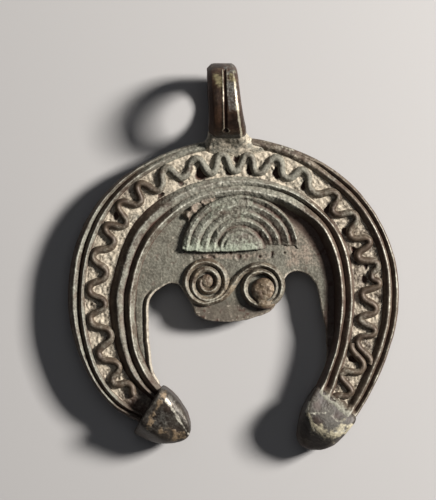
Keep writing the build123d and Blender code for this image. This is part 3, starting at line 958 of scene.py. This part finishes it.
def fan_outline():
    """A half disc whose flat side dips at the left, with a wavering edge."""
    turn = np.radians(np.linspace(0, 180, 200))
    radius = FAN_RADIUS * waver(turn * 10, (0.012, 2.5, 401), start=1)
    arc = FAN_CENTRE + np.stack([radius * np.cos(turn), FAN_SQUASH * radius * np.sin(turn)], axis=-1)
    x = np.linspace(-FAN_RADIUS, FAN_RADIUS, 120)[1:-1]
    flat = -0.1 - 0.3 * ease(x, 3.5, -1.5) + 0.8 * ease(x, 4.2, 5.6)
    flat = waver(x, (0.18, 2.2, 402), (0.07, 0.7, 403), start=flat) * ease(FAN_RADIUS - np.abs(x), 0, 0.8)
    return np.vstack([arc, FAN_CENTRE + np.stack([x, flat], axis=-1)])


def fan_ridge(plan):
    """Height share of the ridges: from crack to crack each rises to a crest that leans to the right."""
    offset = plan - FAN_CENTRE
    turn = np.arctan2(offset[:, 1], offset[:, 0])
    crest = FAN_CREST + FAN_CREST_LEAN * np.cos(turn)
    sharp = 0.5 + 0.3 * ease(np.cos(turn), -0.2, 0.7)
    share = np.full(len(plan), 0.9)
    inner = np.full(len(plan), FAN_CORE)
    for k, (step, squash) in enumerate(FAN_STEPS):
        radius = np.hypot(offset[:, 0], offset[:, 1] / squash)
        foot = waver(turn * step, (0.12, 2.4, 410 + k), (0.06, 0.8, 415 + k), start=step)
        part = (radius - inner) / (foot - inner)
        ridge = np.clip(np.minimum(part / crest, (1 - part) / (1 - crest)), 0, 1) ** sharp
        # the innermost is a low dome with a faint ring sunk in it
        if k == 0:
            ridge = 0.9 - 0.9 * ease(part, 0.6, 1.0) - 0.35 * hump(part, 0.4, 0.14) * ease(turn, 0.5, 1.1)
        share = np.where(part > 0, np.where(part < 1, ridge, 0), share)
        inner = foot
    return share


def fan_foot(plan):
    """1 along the left of the flat side, where the ridges sink into an even edge."""
    return ease(plan[:, 1] - FAN_CENTRE[1], 1.1, 0.2) * ease(plan[:, 0], 1.0, -2.0)


def fan_worn(plan):
    """1 at the top, right of the middle, where the ridges are worn down."""
    x, y = plan.T
    return ease(y, 5.0, 9.0) * between(x, -3.0, 0.0, 2.5, 4.5)


def fan_lump(plan, reach):
    """A bell over the lump on the left ridges."""
    return hump(np.hypot(*(plan - FAN_LUMP).T), 0, reach)


def fan_top(plan, depth):
    """The body of the fan, lower to the right, with its ridges and a grainy skin."""
    x, y = plan.T
    at = flat_points(plan)
    low = ease(x, 4.0, 6.0) * ease(y, 3.6, 2.0)
    worn = fan_worn(plan)
    body = FAN_LEVEL - 0.15 * ease(x, 0.0, 9.0) - 0.4 * low + 0.3 * fan_lump(plan, 0.8)
    share = np.maximum(fan_ridge(plan), np.maximum(0.6 * worn, 0.85 * fan_foot(plan)))
    ridges = FAN_RIDGE_HEIGHT * share * (1 - 0.7 * low)
    return body + ridges + 0.09 * rough(at, 1.0, 421) + (0.07 + 0.05 * worn) * rough(at, 0.45, 425, 2)


def fan_masks(plan):
    """Crests worn pale, dark cracks, painted shade below the right crests, a pale film, and green dust low
    down, thickest on the left foot.
    """
    x, y = plan.T
    at = flat_points(plan)
    share, worn, foot = fan_ridge(plan), fan_worn(plan), fan_foot(plan)
    right = ease(x, 2.5, 5.5)
    low = ease(x, 4.0, 6.0) * ease(y, 3.4, 2.2)
    upper = ease(y, 1.8, 3.2)
    plain = 1 - 0.7 * low
    # the right ridges below their crests get painted shade in the hollow mask
    return {
        "crest": (0.6 + 0.1 * right + 0.4 * noise(at, 1.2, 433)) * ease(share, 0.9, 1.0)
        * (1 - 0.4 * worn) * plain + 0.5 * ease(noise(at, 0.4, 437), 0.5, 0.8),
        "hollow": 0.5 * ease(share, 0.55, 0.2) * (1 - foot) * (1 - 0.7 * worn) * plain
        + 0.3 * ease(noise(at, 0.9, 439), 0.4, 0.8) + 0.2 * low
        + 0.3 * right * ease(share, 0.95, 0.8) * upper,
        "pale": 0.65 + 0.35 * rough(at, 2.0, 431) - 0.1 * right,
        "dust": 0.15 + 0.4 * rough(at, 1.5, 435) + 0.35 * foot + 0.5 * ease(y, 4.0, 1.6) * ease(x, 5.8, 4.2)
        - 0.4 * right * upper - 0.8 * fan_lump(plan, 1.1),
    }


def fan_mesh():
    """The fan as a slab cut to its half disc, with its masks."""
    parts, plan, _ = slab(fan_outline(), FAN_SPACING, fan_top, FAN_BOTTOM, FAN_EDGE_RADIUS)
    return parts, fan_masks(plan)


piece("ridged_fan", *fan_mesh(), FAN_LOOK, 441, FINE_DENTS)

# Scroll: the spirals' centres, and each from its outer end inwards as degrees turned and radius
LEFT_SPIRAL = np.array([-5.15, -4.45])
RIGHT_SPIRAL = np.array([4.67, -5.41])
LEFT_TURN = np.array([
    (0, 3.95), (45, 3.78), (90, 3.62), (180, 3.6), (270, 3.56), (330, 3.45), (360, 3.3), (405, 2.85),
    (450, 2.35), (540, 2.25), (630, 2.2), (690, 1.95), (720, 1.7), (765, 1.3), (810, 1.0), (870, 0.75),
])
RIGHT_TURN = np.array([
    (0, 3.96), (45, 3.95), (90, 3.86), (135, 3.6), (180, 3.3), (225, 3.08), (270, 2.88), (360, 2.83),
    (450, 2.87), (540, 2.75),
])
LINK = ((-2.6, -7.55), (-1.45, -6.55), (-0.5, -5.3), (0.45, -3.9), (1.7, -2.55), (3.1, -1.75))
LINK_MIDDLE = (-0.9, -5.0)
SCROLL_SPACING = 0.08
SCROLL_HALF_WIDTH = 0.64
SCROLL_HEIGHT = 1.05
# how much higher the right spiral stands
SCROLL_RIGHT_RISE = 0.6


def spiral(centre, turns, first, sense):
    """Points of a spiral whose radius follows the table, from the first angle, turned the given way."""
    back = np.arange(0, turns[-1, 0], 6.0)
    radius = curve_through(back, turns[:, 0], turns[:, 1:])[:, 0]
    return polar(centre, radius, np.radians(first + sense * back))


def scroll_line():
    """From inside the left spiral out to its foot, along the link over the right spiral, and into that."""
    left = spiral(LEFT_SPIRAL, LEFT_TURN, -90, -1)[::-1]
    right = spiral(RIGHT_SPIRAL, RIGHT_TURN, 90, -1)
    return bend(np.vstack([left, LINK, right]), SCROLL_SPACING, 0.3)


def scroll_mesh():
    """The S of the scroll as one bar with a narrow crest, which thins out at its two ends."""
    line = scroll_line()
    along = np.arange(len(line)) * SCROLL_SPACING
    ends = between(along, 0, 0.8, along[-1] - 0.8, along[-1])
    link = hump(np.hypot(*(line - LINK_MIDDLE).T), 0, 2.5)
    half_width = waver(along, (0.06, 2.0, 501), start=SCROLL_HALF_WIDTH + 0.14 * link)
    height = waver(along, (0.09, 2.4, 502), (0.04, 0.7, 503), start=SCROLL_HEIGHT) * (0.5 + 0.5 * ends)
    height = height + SCROLL_RIGHT_RISE * ease(line[:, 0], 0.5, 3.5)
    grid, up = ribbon(line, half_width * (0.55 + 0.45 * ends), height, PLATE_TOP - 0.05, 1.7)
    masks = {
        "crest": 0.9 * ease(up, 0.92, 1.0) * (0.75 + 0.4 * noise(grid, 1.5, 519)),
        "hollow": 0.5 * ease(up, 0.3, 0.0),
        "pale": 0.5 + 0.5 * rough(grid, 2.0, 517),
        "dust": 0.1 + 0.5 * rough(grid, 1.4, 521) + 0.3 * link[:, None],
    }
    return closed_tube(grid), masks


piece("scroll", *scroll_mesh(), SCROLL_LOOK, 511, dents=((0.03, 1.1), (0.015, 0.4)))

# Mounds: each its name, centre, half its size, level of its rim, height over it, seed
MOUNDS = (
    ("boss", (5.35, -6.1), (2.3, 2.4), 5.6, 1.1, 541),
    ("boss_lump", (5.5, -8.4), (1.8, 1.0), 5.85, 0.9, 561),
    ("left_spiral_core", LEFT_SPIRAL + 0.1, (1.25, 1.25), 5.1, 0.75, 581),
)
MOUND_SPACING = 0.08
MOUND_BOTTOM = 4.3
MOUND_EDGE_RADIUS = 0.15


def mound_mesh(centre, half_size, base, height, seed):
    """A rough low dome on an oval: its height falls as the root of 1 - r squared towards the rim."""
    turn = np.linspace(0, 2 * np.pi, 90, endpoint=False)
    edge = (1 + 0.05 * line_noise(turn * 2, 1.5, seed + 6) * np.sin(turn / 2))[:, None]
    outline = centre + half_size * edge * polar(0, 1, turn)

    def top(plan, depth):
        at = flat_points(plan)
        dome = np.sqrt(np.clip(1 - np.hypot(*((plan - centre) / half_size).T) ** 2, 0, 1))
        return base + height * dome + 0.14 * rough(at, 1.1, seed) + 0.07 * rough(at, 0.45, seed + 4, 2)

    parts, plan, depth = slab(outline, MOUND_SPACING, top, MOUND_BOTTOM, MOUND_EDGE_RADIUS)
    at = flat_points(plan)
    masks = {
        "crest": 0.15 + 0.3 * rough(at, 1.0, seed + 7),
        "dust": 0.1 + 0.4 * rough(at, 1.4, seed + 8),
        "pale": 0.35 + 0.5 * rough(at, 1.6, seed + 9),
        "hollow": 0.8 * ease(depth, 0.25, 0.0) + 0.5 * ease(rough(at, 0.7, seed + 10), 0.15, 0.5),
    }
    return parts, masks


for name, centre, half_size, base, height, seed in MOUNDS:
    mound = mound_mesh(np.array(centre), np.array(half_size), base, height, seed)
    piece(name, *mound, BOSS_LOOK, seed, dents=((0.03, 0.8),))


# Knobs: level of their middles, and the power that keeps the edges between facets crisp
KNOB_MIDDLE = 4.65
KNOB_SHARP = 16
KNOB_ROWS, KNOB_COLUMNS = 150, 160


def faceted(facets, centre, axes):
    """A convex body cut by facets, with soft edges.

    The facets are a normal and a point on the plane, in the body's own axes from its centre. In a
    direction d the surface is at 1 / (sum of (n.d / distance of the plane) ** p) ** (1 / p), over the
    facets that face d, with KNOB_SHARP as p. The rows run from pole to pole along the first axis.
    """
    tilt = np.linspace(0, np.pi, KNOB_ROWS + 2)[1:-1, None]
    turn = np.linspace(0, 2 * np.pi, KNOB_COLUMNS, endpoint=False)[None]
    direction = np.stack([
        np.cos(tilt) * np.ones_like(turn), np.sin(tilt) * np.cos(turn), np.sin(tilt) * np.sin(turn)
    ], axis=-1)
    total = np.zeros(direction.shape[:2])
    nearest = np.zeros(direction.shape[:2])
    for normal, through in facets:
        normal = np.array(normal) / np.linalg.norm(normal)
        share = np.maximum(direction @ normal, 0) / (normal @ np.array(through))
        total += share**KNOB_SHARP
        nearest = np.maximum(nearest, share)
    reach = total ** (-1 / KNOB_SHARP)
    edge = 1 - reach * nearest
    local = direction * reach[..., None]
    return centre + local @ axes, edge


def knob(name, look, base, heading, centre_along, facets, seed, worn_and_highlight_lines, golden, pale, dark):
    """A knob from its facets, seen from its broad end: along its axis, to its left, and upwards.

    In its plan, worn_and_highlight_lines are worn lines that also lay on painted highlights, with their
    strength and reach, golden are lines with their reach, and dark are blots as their middle and radius. pale
    is the patina of its top face.
    """
    along = np.array([cos(radians(heading)), sin(radians(heading)), 0])
    axes = np.stack([along, [-along[1], along[0], 0], [0, 0, 1]])
    middle = np.array([centre_along, 0, 0])
    moved = [(normal, np.array(through) - middle) for normal, through in facets]
    centre = np.array([*base, KNOB_MIDDLE]) + centre_along * along
    grid, edge = faceted(moved, centre, axes)
    parts = closed_tube(grid)
    at = parts[0][: edge.size]
    own = (at - centre) @ axes.T + middle
    plan, up = own[:, :2], own[:, 2]
    above = ease(up, 0.5, 2.0)
    ragged = 0.4 * noise(at, 0.8, seed + 3)
    blots = sum(hump(np.hypot(own[:, 0] - a, own[:, 1] - b) + ragged, 0, r) for a, b, r in dark)
    # worn lines, which also lay on painted highlights
    worn = sum(strength * near_line(plan, line, reach, seed + 6) for strength, reach, line in worn_and_highlight_lines)
    gold = sum(near_line(plan, line, reach, seed + 9) for reach, line in golden)
    ridges = 0.3 * ease(edge, 0.015, 0.035).ravel() * (0.6 + 0.4 * noise(at, 1.5, seed + 5))
    # painted shade on the lower sides, turned from the light
    shaded = 0.6 * ease(up, 2.2, 0.2) * ease(rough(at, 1.6, seed + 11), -0.35, 0.45)
    masks = {
        "crest": ridges + above * worn,
        "dust": above * gold * (0.65 + 0.6 * noise(at, 0.6, seed + 8)),
        "pale": 0.1 * above + pale * ease(up, 2.9, 3.7) + 0.3 * rough(at, 1.4, seed + 7) - blots,
        "hollow": shaded + 0.25 * above * blots,
    }
    piece(name, parts, masks, look, seed, dents=((0.08, 2.0), (0.035, 0.6)))


# each row: normal, point on the facet, both as along the knob, to its left, up from its middle
LEFT_FACETS = (
    ((-1, 0, 0), (-1.0, 0, 0)),
    ((0.22, -0.12, 0.97), (0.3, 0, 4.45)),
    ((0.33, 0.62, 0.71), (0.9, 3.2, 4.6)),
    ((-0.10, 0.99, 0.05), (0, 4.75, 0)),
    ((0.303, 0.953, 0.05), (2.3, 4.4, 0)),
    ((0.52, 0.85, 0.05), (4.9, 3.4, 0)),
    ((0.69, 0.72, 0.05), (6.7, 1.95, 0)),
    ((0.94, 0.34, 0.05), (7.85, 0.4, 0)),
    ((0.95, -0.31, 0.0), (7.9, -1.1, 0)),
    ((0.05, -0.85, 0.50), (2.0, -3.2, 3.65)),
    ((0.50, -0.60, 0.62), (5.4, -2.2, 3.4)),
    ((0.69, -0.72, 0.0), (6.65, -2.85, 0)),
    ((0.463, -0.887, 0.0), (4.2, -4.6, 0)),
    ((0.086, -0.996, 0.0), (1.6, -5.4, 0)),
    ((0.27, 0, -0.96), (0.3, 0, -4.6)),
    ((0.35, 0.70, -0.62), (0.5, 3.6, -4.3)),
    ((0.35, -0.70, -0.62), (0.5, -3.6, -4.3)),
    ((0.75, 0.0, -0.66), (6.3, 0, -3.0)),
)
RIGHT_FACETS = (
    ((-1, 0, 0), (-1.7, 0, 0)),
    ((-0.36, 0, 0.93), (-0.5, 0, 3.15)),
    ((0.10, 0, 0.995), (0.3, 0, 4.65)),
    ((0.62, -0.33, 0.71), (4.05, -1.84, 4.25)),
    ((0.68, 0.227, 0.70), (4.3, 1.6, 4.2)),
    ((0.25, 0.86, 0.44), (1.8, 4.05, 4.3)),
    ((0.31, -0.89, 0.33), (1.65, -4.0, 4.3)),
    ((0.098, -0.995, 0.0), (1.9, -4.5, 0)),
    ((-0.08, 0.997, 0.0), (0, 4.7, 0)),
    ((0.247, 0.969, 0.0), (4.7, 4.65, 0)),
    ((0.618, 0.786, 0.0), (6.9, 3.45, 0)),
    ((0.914, 0.406, 0.0), (8.45, 1.45, 0)),
    ((0.893, -0.451, 0.0), (8.6, -0.75, 0)),
    ((0.473, -0.881, 0.0), (5.7, -3.05, 0)),
    ((0.10, 0, -0.995), (0.3, 0, -4.6)),
    ((0.65, 0.0, -0.76), (6.0, 0, -3.2)),
    ((0.2, 0.75, -0.62), (0.5, 3.8, -4.3)),
    ((0.2, -0.75, -0.62), (0.5, -3.8, -4.3)),
)
knob(
    "left_knob", LEFT_KNOB_LOOK, LEFT_BASE, LEFT_HEADING, centre_along=3.0, facets=LEFT_FACETS, seed=601,
    worn_and_highlight_lines=[(1, 0.42, [(1.1, 3.1), (7.6, -0.2)])],
    golden=[(0.9, [(0.1, 3.7), (0.7, -2.8)]), (1.3, [(3.4, -2.2), (5.4, -1.8), (7.3, -0.9)])],
    pale=0.3, dark=[(1.9, 2.1, 0.7), (5.6, -0.9, 0.5)],
)
knob(
    "right_knob", RIGHT_KNOB_LOOK, RIGHT_BASE, RIGHT_HEADING, centre_along=3.4, facets=RIGHT_FACETS, seed=641,
    worn_and_highlight_lines=[
        (0.9, 0.35, [(1.6, -4.0), (3.2, -3.4), (4.9, -0.25)]),
        (0.5, 0.45, [(3.3, -3.1), (2.3, -1.9), (1.3, -0.6)]),
        (0.45, 0.9, [(0.4, -1.2), (0.8, 0.8), (1.0, 2.6)]), (0.6, 0.7, [(3.0, 3.0), (1.7, 3.9)]),
    ],
    golden=[(1.9, [(4.3, 0.3), (3.3, 2.9), (0.6, 4.2)]), (0.6, [(3.2, -3.3), (4.8, -0.4)])],
    pale=0.72, dark=[(1.2, -2.6, 0.9), (3.1, -0.9, 0.8), (0.5, 1.3, 0.6)],
)

# Bail
BAIL_CENTRE = np.array([-1.75, 27.93, 6.9])
BAIL_LEAN = radians(5)
BAIL_MIDDLE = 5.675
BAIL_HALF_WALL = 1.22
BAIL_HALF_WIDTH = 3.0
# half the strap's width by degrees round the ring, from its far side over the top to its foot
BAIL_WIDTHS = ((0, 2.7), (30, 2.76), (75, 2.76), (113, 3.02), (148, 3.38), (180, 3.4), (270, 3.0), (360, 2.7))
# corners of the strap's section: across and outwards, each from -1 to 1
BAIL_SECTION = np.array([
    (-0.8, -1.0), (-0.97, -0.7), (-1.0, -0.2), (-0.99, 0.25), (-0.7, 0.88), (-0.5, 0.98),
    (0.66, 1.0), (0.82, 0.76), (0.94, 0.4), (1.0, -0.1), (0.97, -0.7), (0.8, -1.0),
])
# where a painted highlight line runs, as a share of the half-width
BAIL_PAINTED_HIGHLIGHT = 0.72
# where the groove runs across the strap: its middle, and how far it leans to the right at the far side
# and to the left at the foot
GROOVE_OFFSET, GROOVE_SWING = 0.065, 0.47
GROOVE_DEPTH, GROOVE_LIP = 0.55, 0.13
# degrees round the ring of the eye at the groove's near end
EYE_AT = 142


def bail_mesh():
    """The ring bail as a closed band: u runs round the hole, v round the strap's bevelled section.

    On its outer face a narrow groove with raised edges runs over the top of the ring and ends in a
    small eye. The half-width follows its table.
    """
    turn = np.linspace(0, 2 * np.pi, 420, endpoint=False)[:, None]
    degrees = np.degrees(turn)
    scale = (BAIL_HALF_WIDTH, BAIL_HALF_WALL)
    side, out = (bend(BAIL_SECTION * scale, 0.13, 0.11, closed=True) / scale).T
    half_width = np.interp(degrees, *np.transpose(BAIL_WIDTHS))
    half_width += 0.06 * line_noise(np.sin(turn / 2) * 20, 3.0, 701)
    across = half_width * side
    groove_at = between(degrees, 34, 40, 136, 141)
    off = across - (GROOVE_OFFSET + GROOVE_SWING * np.cos(turn))
    eye = np.hypot(off, (turn - radians(EYE_AT)) * BAIL_MIDDLE * 1.15)
    face = ease(out, 0.5, 0.8)
    slit = face * np.maximum(groove_at * hump(off, 0, 0.17), 0.8 * ease(eye, 0.45, 0.2))
    lips = groove_at * (hump(off, -0.36, 0.16) + 0.4 * hump(off, 0.36, 0.16))
    lips = face * np.maximum(lips, hump(eye, 0.6, 0.15))
    radius = BAIL_MIDDLE + BAIL_HALF_WALL * out - GROOVE_DEPTH * slit + GROOVE_LIP * lips
    onward = np.array([-sin(BAIL_LEAN), cos(BAIL_LEAN), 0])
    ring = onward * np.cos(turn) + np.array([0, 0, 1]) * np.sin(turn)
    grid = BAIL_CENTRE + across[..., None] * np.array([1.0, 0, 0]) + radius[..., None] * ring[:, None]
    at = grid.reshape(-1, 3)
    parts = at, grid_faces(*grid.shape[:2], closed=True), np.zeros((0, 3), int)
    return parts, bail_masks(at, degrees, side, out, face, slit, lips)


def bail_masks(at, degrees, side, out, face, slit, lips):
    """A painted highlight line and worn lips, golden and grey patches on the strap's face, the grey right of
    the groove a painted reflection, painted shade on the left bevel, painted light on the right one, and a
    dark hole.
    """
    shape = slit.shape
    patches = rough(at, 1.1, 717).reshape(shape)
    mottle = ease(rough(at, 1.3, 719), 0.05, 0.45).reshape(shape)
    # a painted highlight line along the strap's right face
    painted_highlight = hump(side, BAIL_PAINTED_HIGHLIGHT, 0.05) * ease(out, 0.3, 0.6) * ease(degrees, 30, 60)
    gold = 0.9 * hump(degrees + 22 * patches, 54, 17) * face * between(side, -0.85, -0.4, -0.15, 0.0)
    gold = gold + 0.7 * hump(degrees + 18 * patches, 56, 9) * face * ease(side, 0.3, 0.5) + 0.3 * patches
    # the face right of the groove painted grey, as a painted reflection
    grey = face * ease(side, 0.08, 0.2) * between(degrees, 52, 66, 100, 118)
    top_grey = 0.7 * face * ease(side, 0.0, 0.15)
    # painted shade on the left bevel, turned from the light
    bevel = ease(side, -0.66, -0.78) * ease(out, -0.5, 0.0)
    # the right bevel painted paler, as painted light
    painted_lit_bevel = ease(side, 0.84, 0.92) * ease(degrees, 40, 60)
    film = 0.85 * grey + 0.5 * painted_lit_bevel + (0.9 * patches + top_grey) * ease(degrees, 56, 46)
    foot = ease(at[:, 1] + 0.5 * rough(at, 1.2, 715), 22.4, 21.4) * ease(at[:, 2], 6.0, 7.5)
    worn = (1.1 * painted_highlight + 0.95 * lips + 0.35 * face * ease(side, 0.05, 0.3)).ravel()
    return {
        "crest": worn * (0.8 + 0.25 * noise(at, 1.6, 711)),
        "hollow": np.clip(1.2 * slit, 0, 1) + 0.8 * ease(out, -0.5, -0.8) + 0.85 * bevel + 0.3 * mottle,
        "pale": foot - 0.2 + film.ravel(),
        "dust": gold - 1.5 * slit - 0.5 * bevel,
    }


piece("ring_bail", *bail_mesh(), BAIL_LOOK, 721, dents=((0.05, 2.0), (0.015, 0.5)))

# Foot of the bail, from under the strap down to the limb, flared to the right
FOOT_OUTLINE = np.array([
    (-4.7, 22.7), (-4.9, 21.4), (-5.6, 20.7), (-6.6, 19.9), (-6.2, 19.0), (-4.4, 18.2), (-1.0, 17.9),
    (2.6, 18.0), (5.2, 18.6), (6.6, 19.6), (5.2, 20.7), (2.9, 21.5), (2.2, 22.2), (1.9, 22.7),
])
FOOT_SPACING = 0.13
FOOT_BOTTOM = 4.6
FOOT_EDGE_RADIUS = 0.5
FOOT_LOW, FOOT_SWELL, FOOT_RISE = 5.4, 0.75, 3.2
FOOT_WORN_SPOT = (2.6, 20.4)


def foot_top(plan, depth):
    """A rough ramp up to the strap, low at both sides, which sinks into the limb at its edge."""
    x, y = plan.T
    at = flat_points(plan)
    ramp = ease(y + 0.3 * rough(at, 1.6, 733), 19.0, 22.3) * between(x, -5.6, -4.4, 1.0, 3.8)
    z = FOOT_LOW + FOOT_SWELL * ease(depth, 0, 1.4) + FOOT_RISE * ramp
    return z + 0.10 * rough(at, 1.3, 735) + 0.05 * rough(at, 0.45, 737, 2)


def foot_mesh():
    """The foot as a slab cut to its rounded outline, with its masks."""
    outline = bend(FOOT_OUTLINE, 0.12, 0.3, closed=True)
    parts, plan, _ = slab(outline, FOOT_SPACING, foot_top, FOOT_BOTTOM, FOOT_EDGE_RADIUS)
    at = parts[0][: len(plan)]
    worn_spot = hump(np.hypot(*(plan - FOOT_WORN_SPOT).T), 0, 1.3)
    masks = {
        "pale": 0.9 + 0.4 * rough(at, 1.5, 741),
        "dust": 0.55 + 0.35 * rough(at, 1.2, 745),
        "crest": 0.8 * ease(noise(at, 0.45, 747), 0.5, 0.8) + 0.5 * worn_spot,
    }
    return parts, masks


piece("bail_foot", *foot_mesh(), LIMB_LOOK, 731, dents=((0.02, 0.5),))


# Stage
STAGE_REACH = 1.5
STAGE_GREY = (0.40, 0.39, 0.39, 1)
STAGE_ROUGHNESS = 0.85


def plain_floor():
    """A plain pale floor under the pendant."""
    grey = bpy.data.materials.new("floor_paper")
    grey.use_nodes = True
    shader = grey.node_tree.nodes["Principled BSDF"].inputs
    shader["Base Color"].default_value = STAGE_GREY
    shader["Roughness"].default_value = STAGE_ROUGHNESS
    corners = [(x * STAGE_REACH, y * STAGE_REACH, 0) for x, y in ((-1, -1), (1, -1), (1, 1), (-1, 1))]
    mesh = bpy.data.meshes.new("floor")
    mesh.from_pydata(corners, [], [(0, 1, 2, 3)])
    mesh.materials.append(grey)
    sheet = bpy.data.objects.new("floor", mesh)
    bpy.context.scene.collection.objects.link(sheet)


def aim(position, target):
    """A placement at the position that looks at the target."""
    direction = Vector(target) - Vector(position)
    return Matrix.LocRotScale(Vector(position), direction.to_track_quat("-Z", "Y"), None)


LIT_POINT = (0, 0, 0.005)


def soft_light(name, azimuth, elevation, distance, size, watts, colour):
    """A square area light aimed at the pendant from a direction in degrees."""
    lamp = bpy.data.lights.new(name, "AREA")
    lamp.size = size
    lamp.energy = watts
    lamp.color = colour
    obj = bpy.data.objects.new(name, lamp)
    bpy.context.scene.collection.objects.link(obj)
    turn, rise = radians(azimuth), radians(elevation)
    flat = distance * cos(rise)
    obj.matrix_world = aim((flat * cos(turn), flat * sin(turn), distance * sin(rise)), LIT_POINT)


plain_floor()
soft_light("key", azimuth=19, elevation=35, distance=0.60, size=0.12, watts=9.0, colour=(1.0, 0.97, 0.92))
soft_light("fill", azimuth=80, elevation=78, distance=0.8, size=0.5, watts=0.45, colour=(0.92, 0.95, 1.0))

world = bpy.data.worlds.new("studio")
world.use_nodes = True
sky = world.node_tree.nodes["Background"].inputs
sky["Color"].default_value = (0.9, 0.93, 1.0, 1)
sky["Strength"].default_value = 0.035
bpy.context.scene.world = world

# Camera
VIEW_CENTRE = (-0.00297, 0.00126)
VIEW_HEIGHT = 0.0900
CAMERA_DISTANCE = 0.42
# level at which the view is as tall as that, about that of the beads
VIEW_LEVEL = 0.006
lens = bpy.data.cameras.new("camera")
lens.sensor_fit = "VERTICAL"
lens.sensor_height = 24
lens.lens = lens.sensor_height * CAMERA_DISTANCE / VIEW_HEIGHT
camera = bpy.data.objects.new("camera", lens)
bpy.context.scene.collection.objects.link(camera)
camera.location = (*VIEW_CENTRE, CAMERA_DISTANCE + VIEW_LEVEL)
bpy.context.scene.camera = camera
bpy.context.scene.view_settings.view_transform = "Standard"
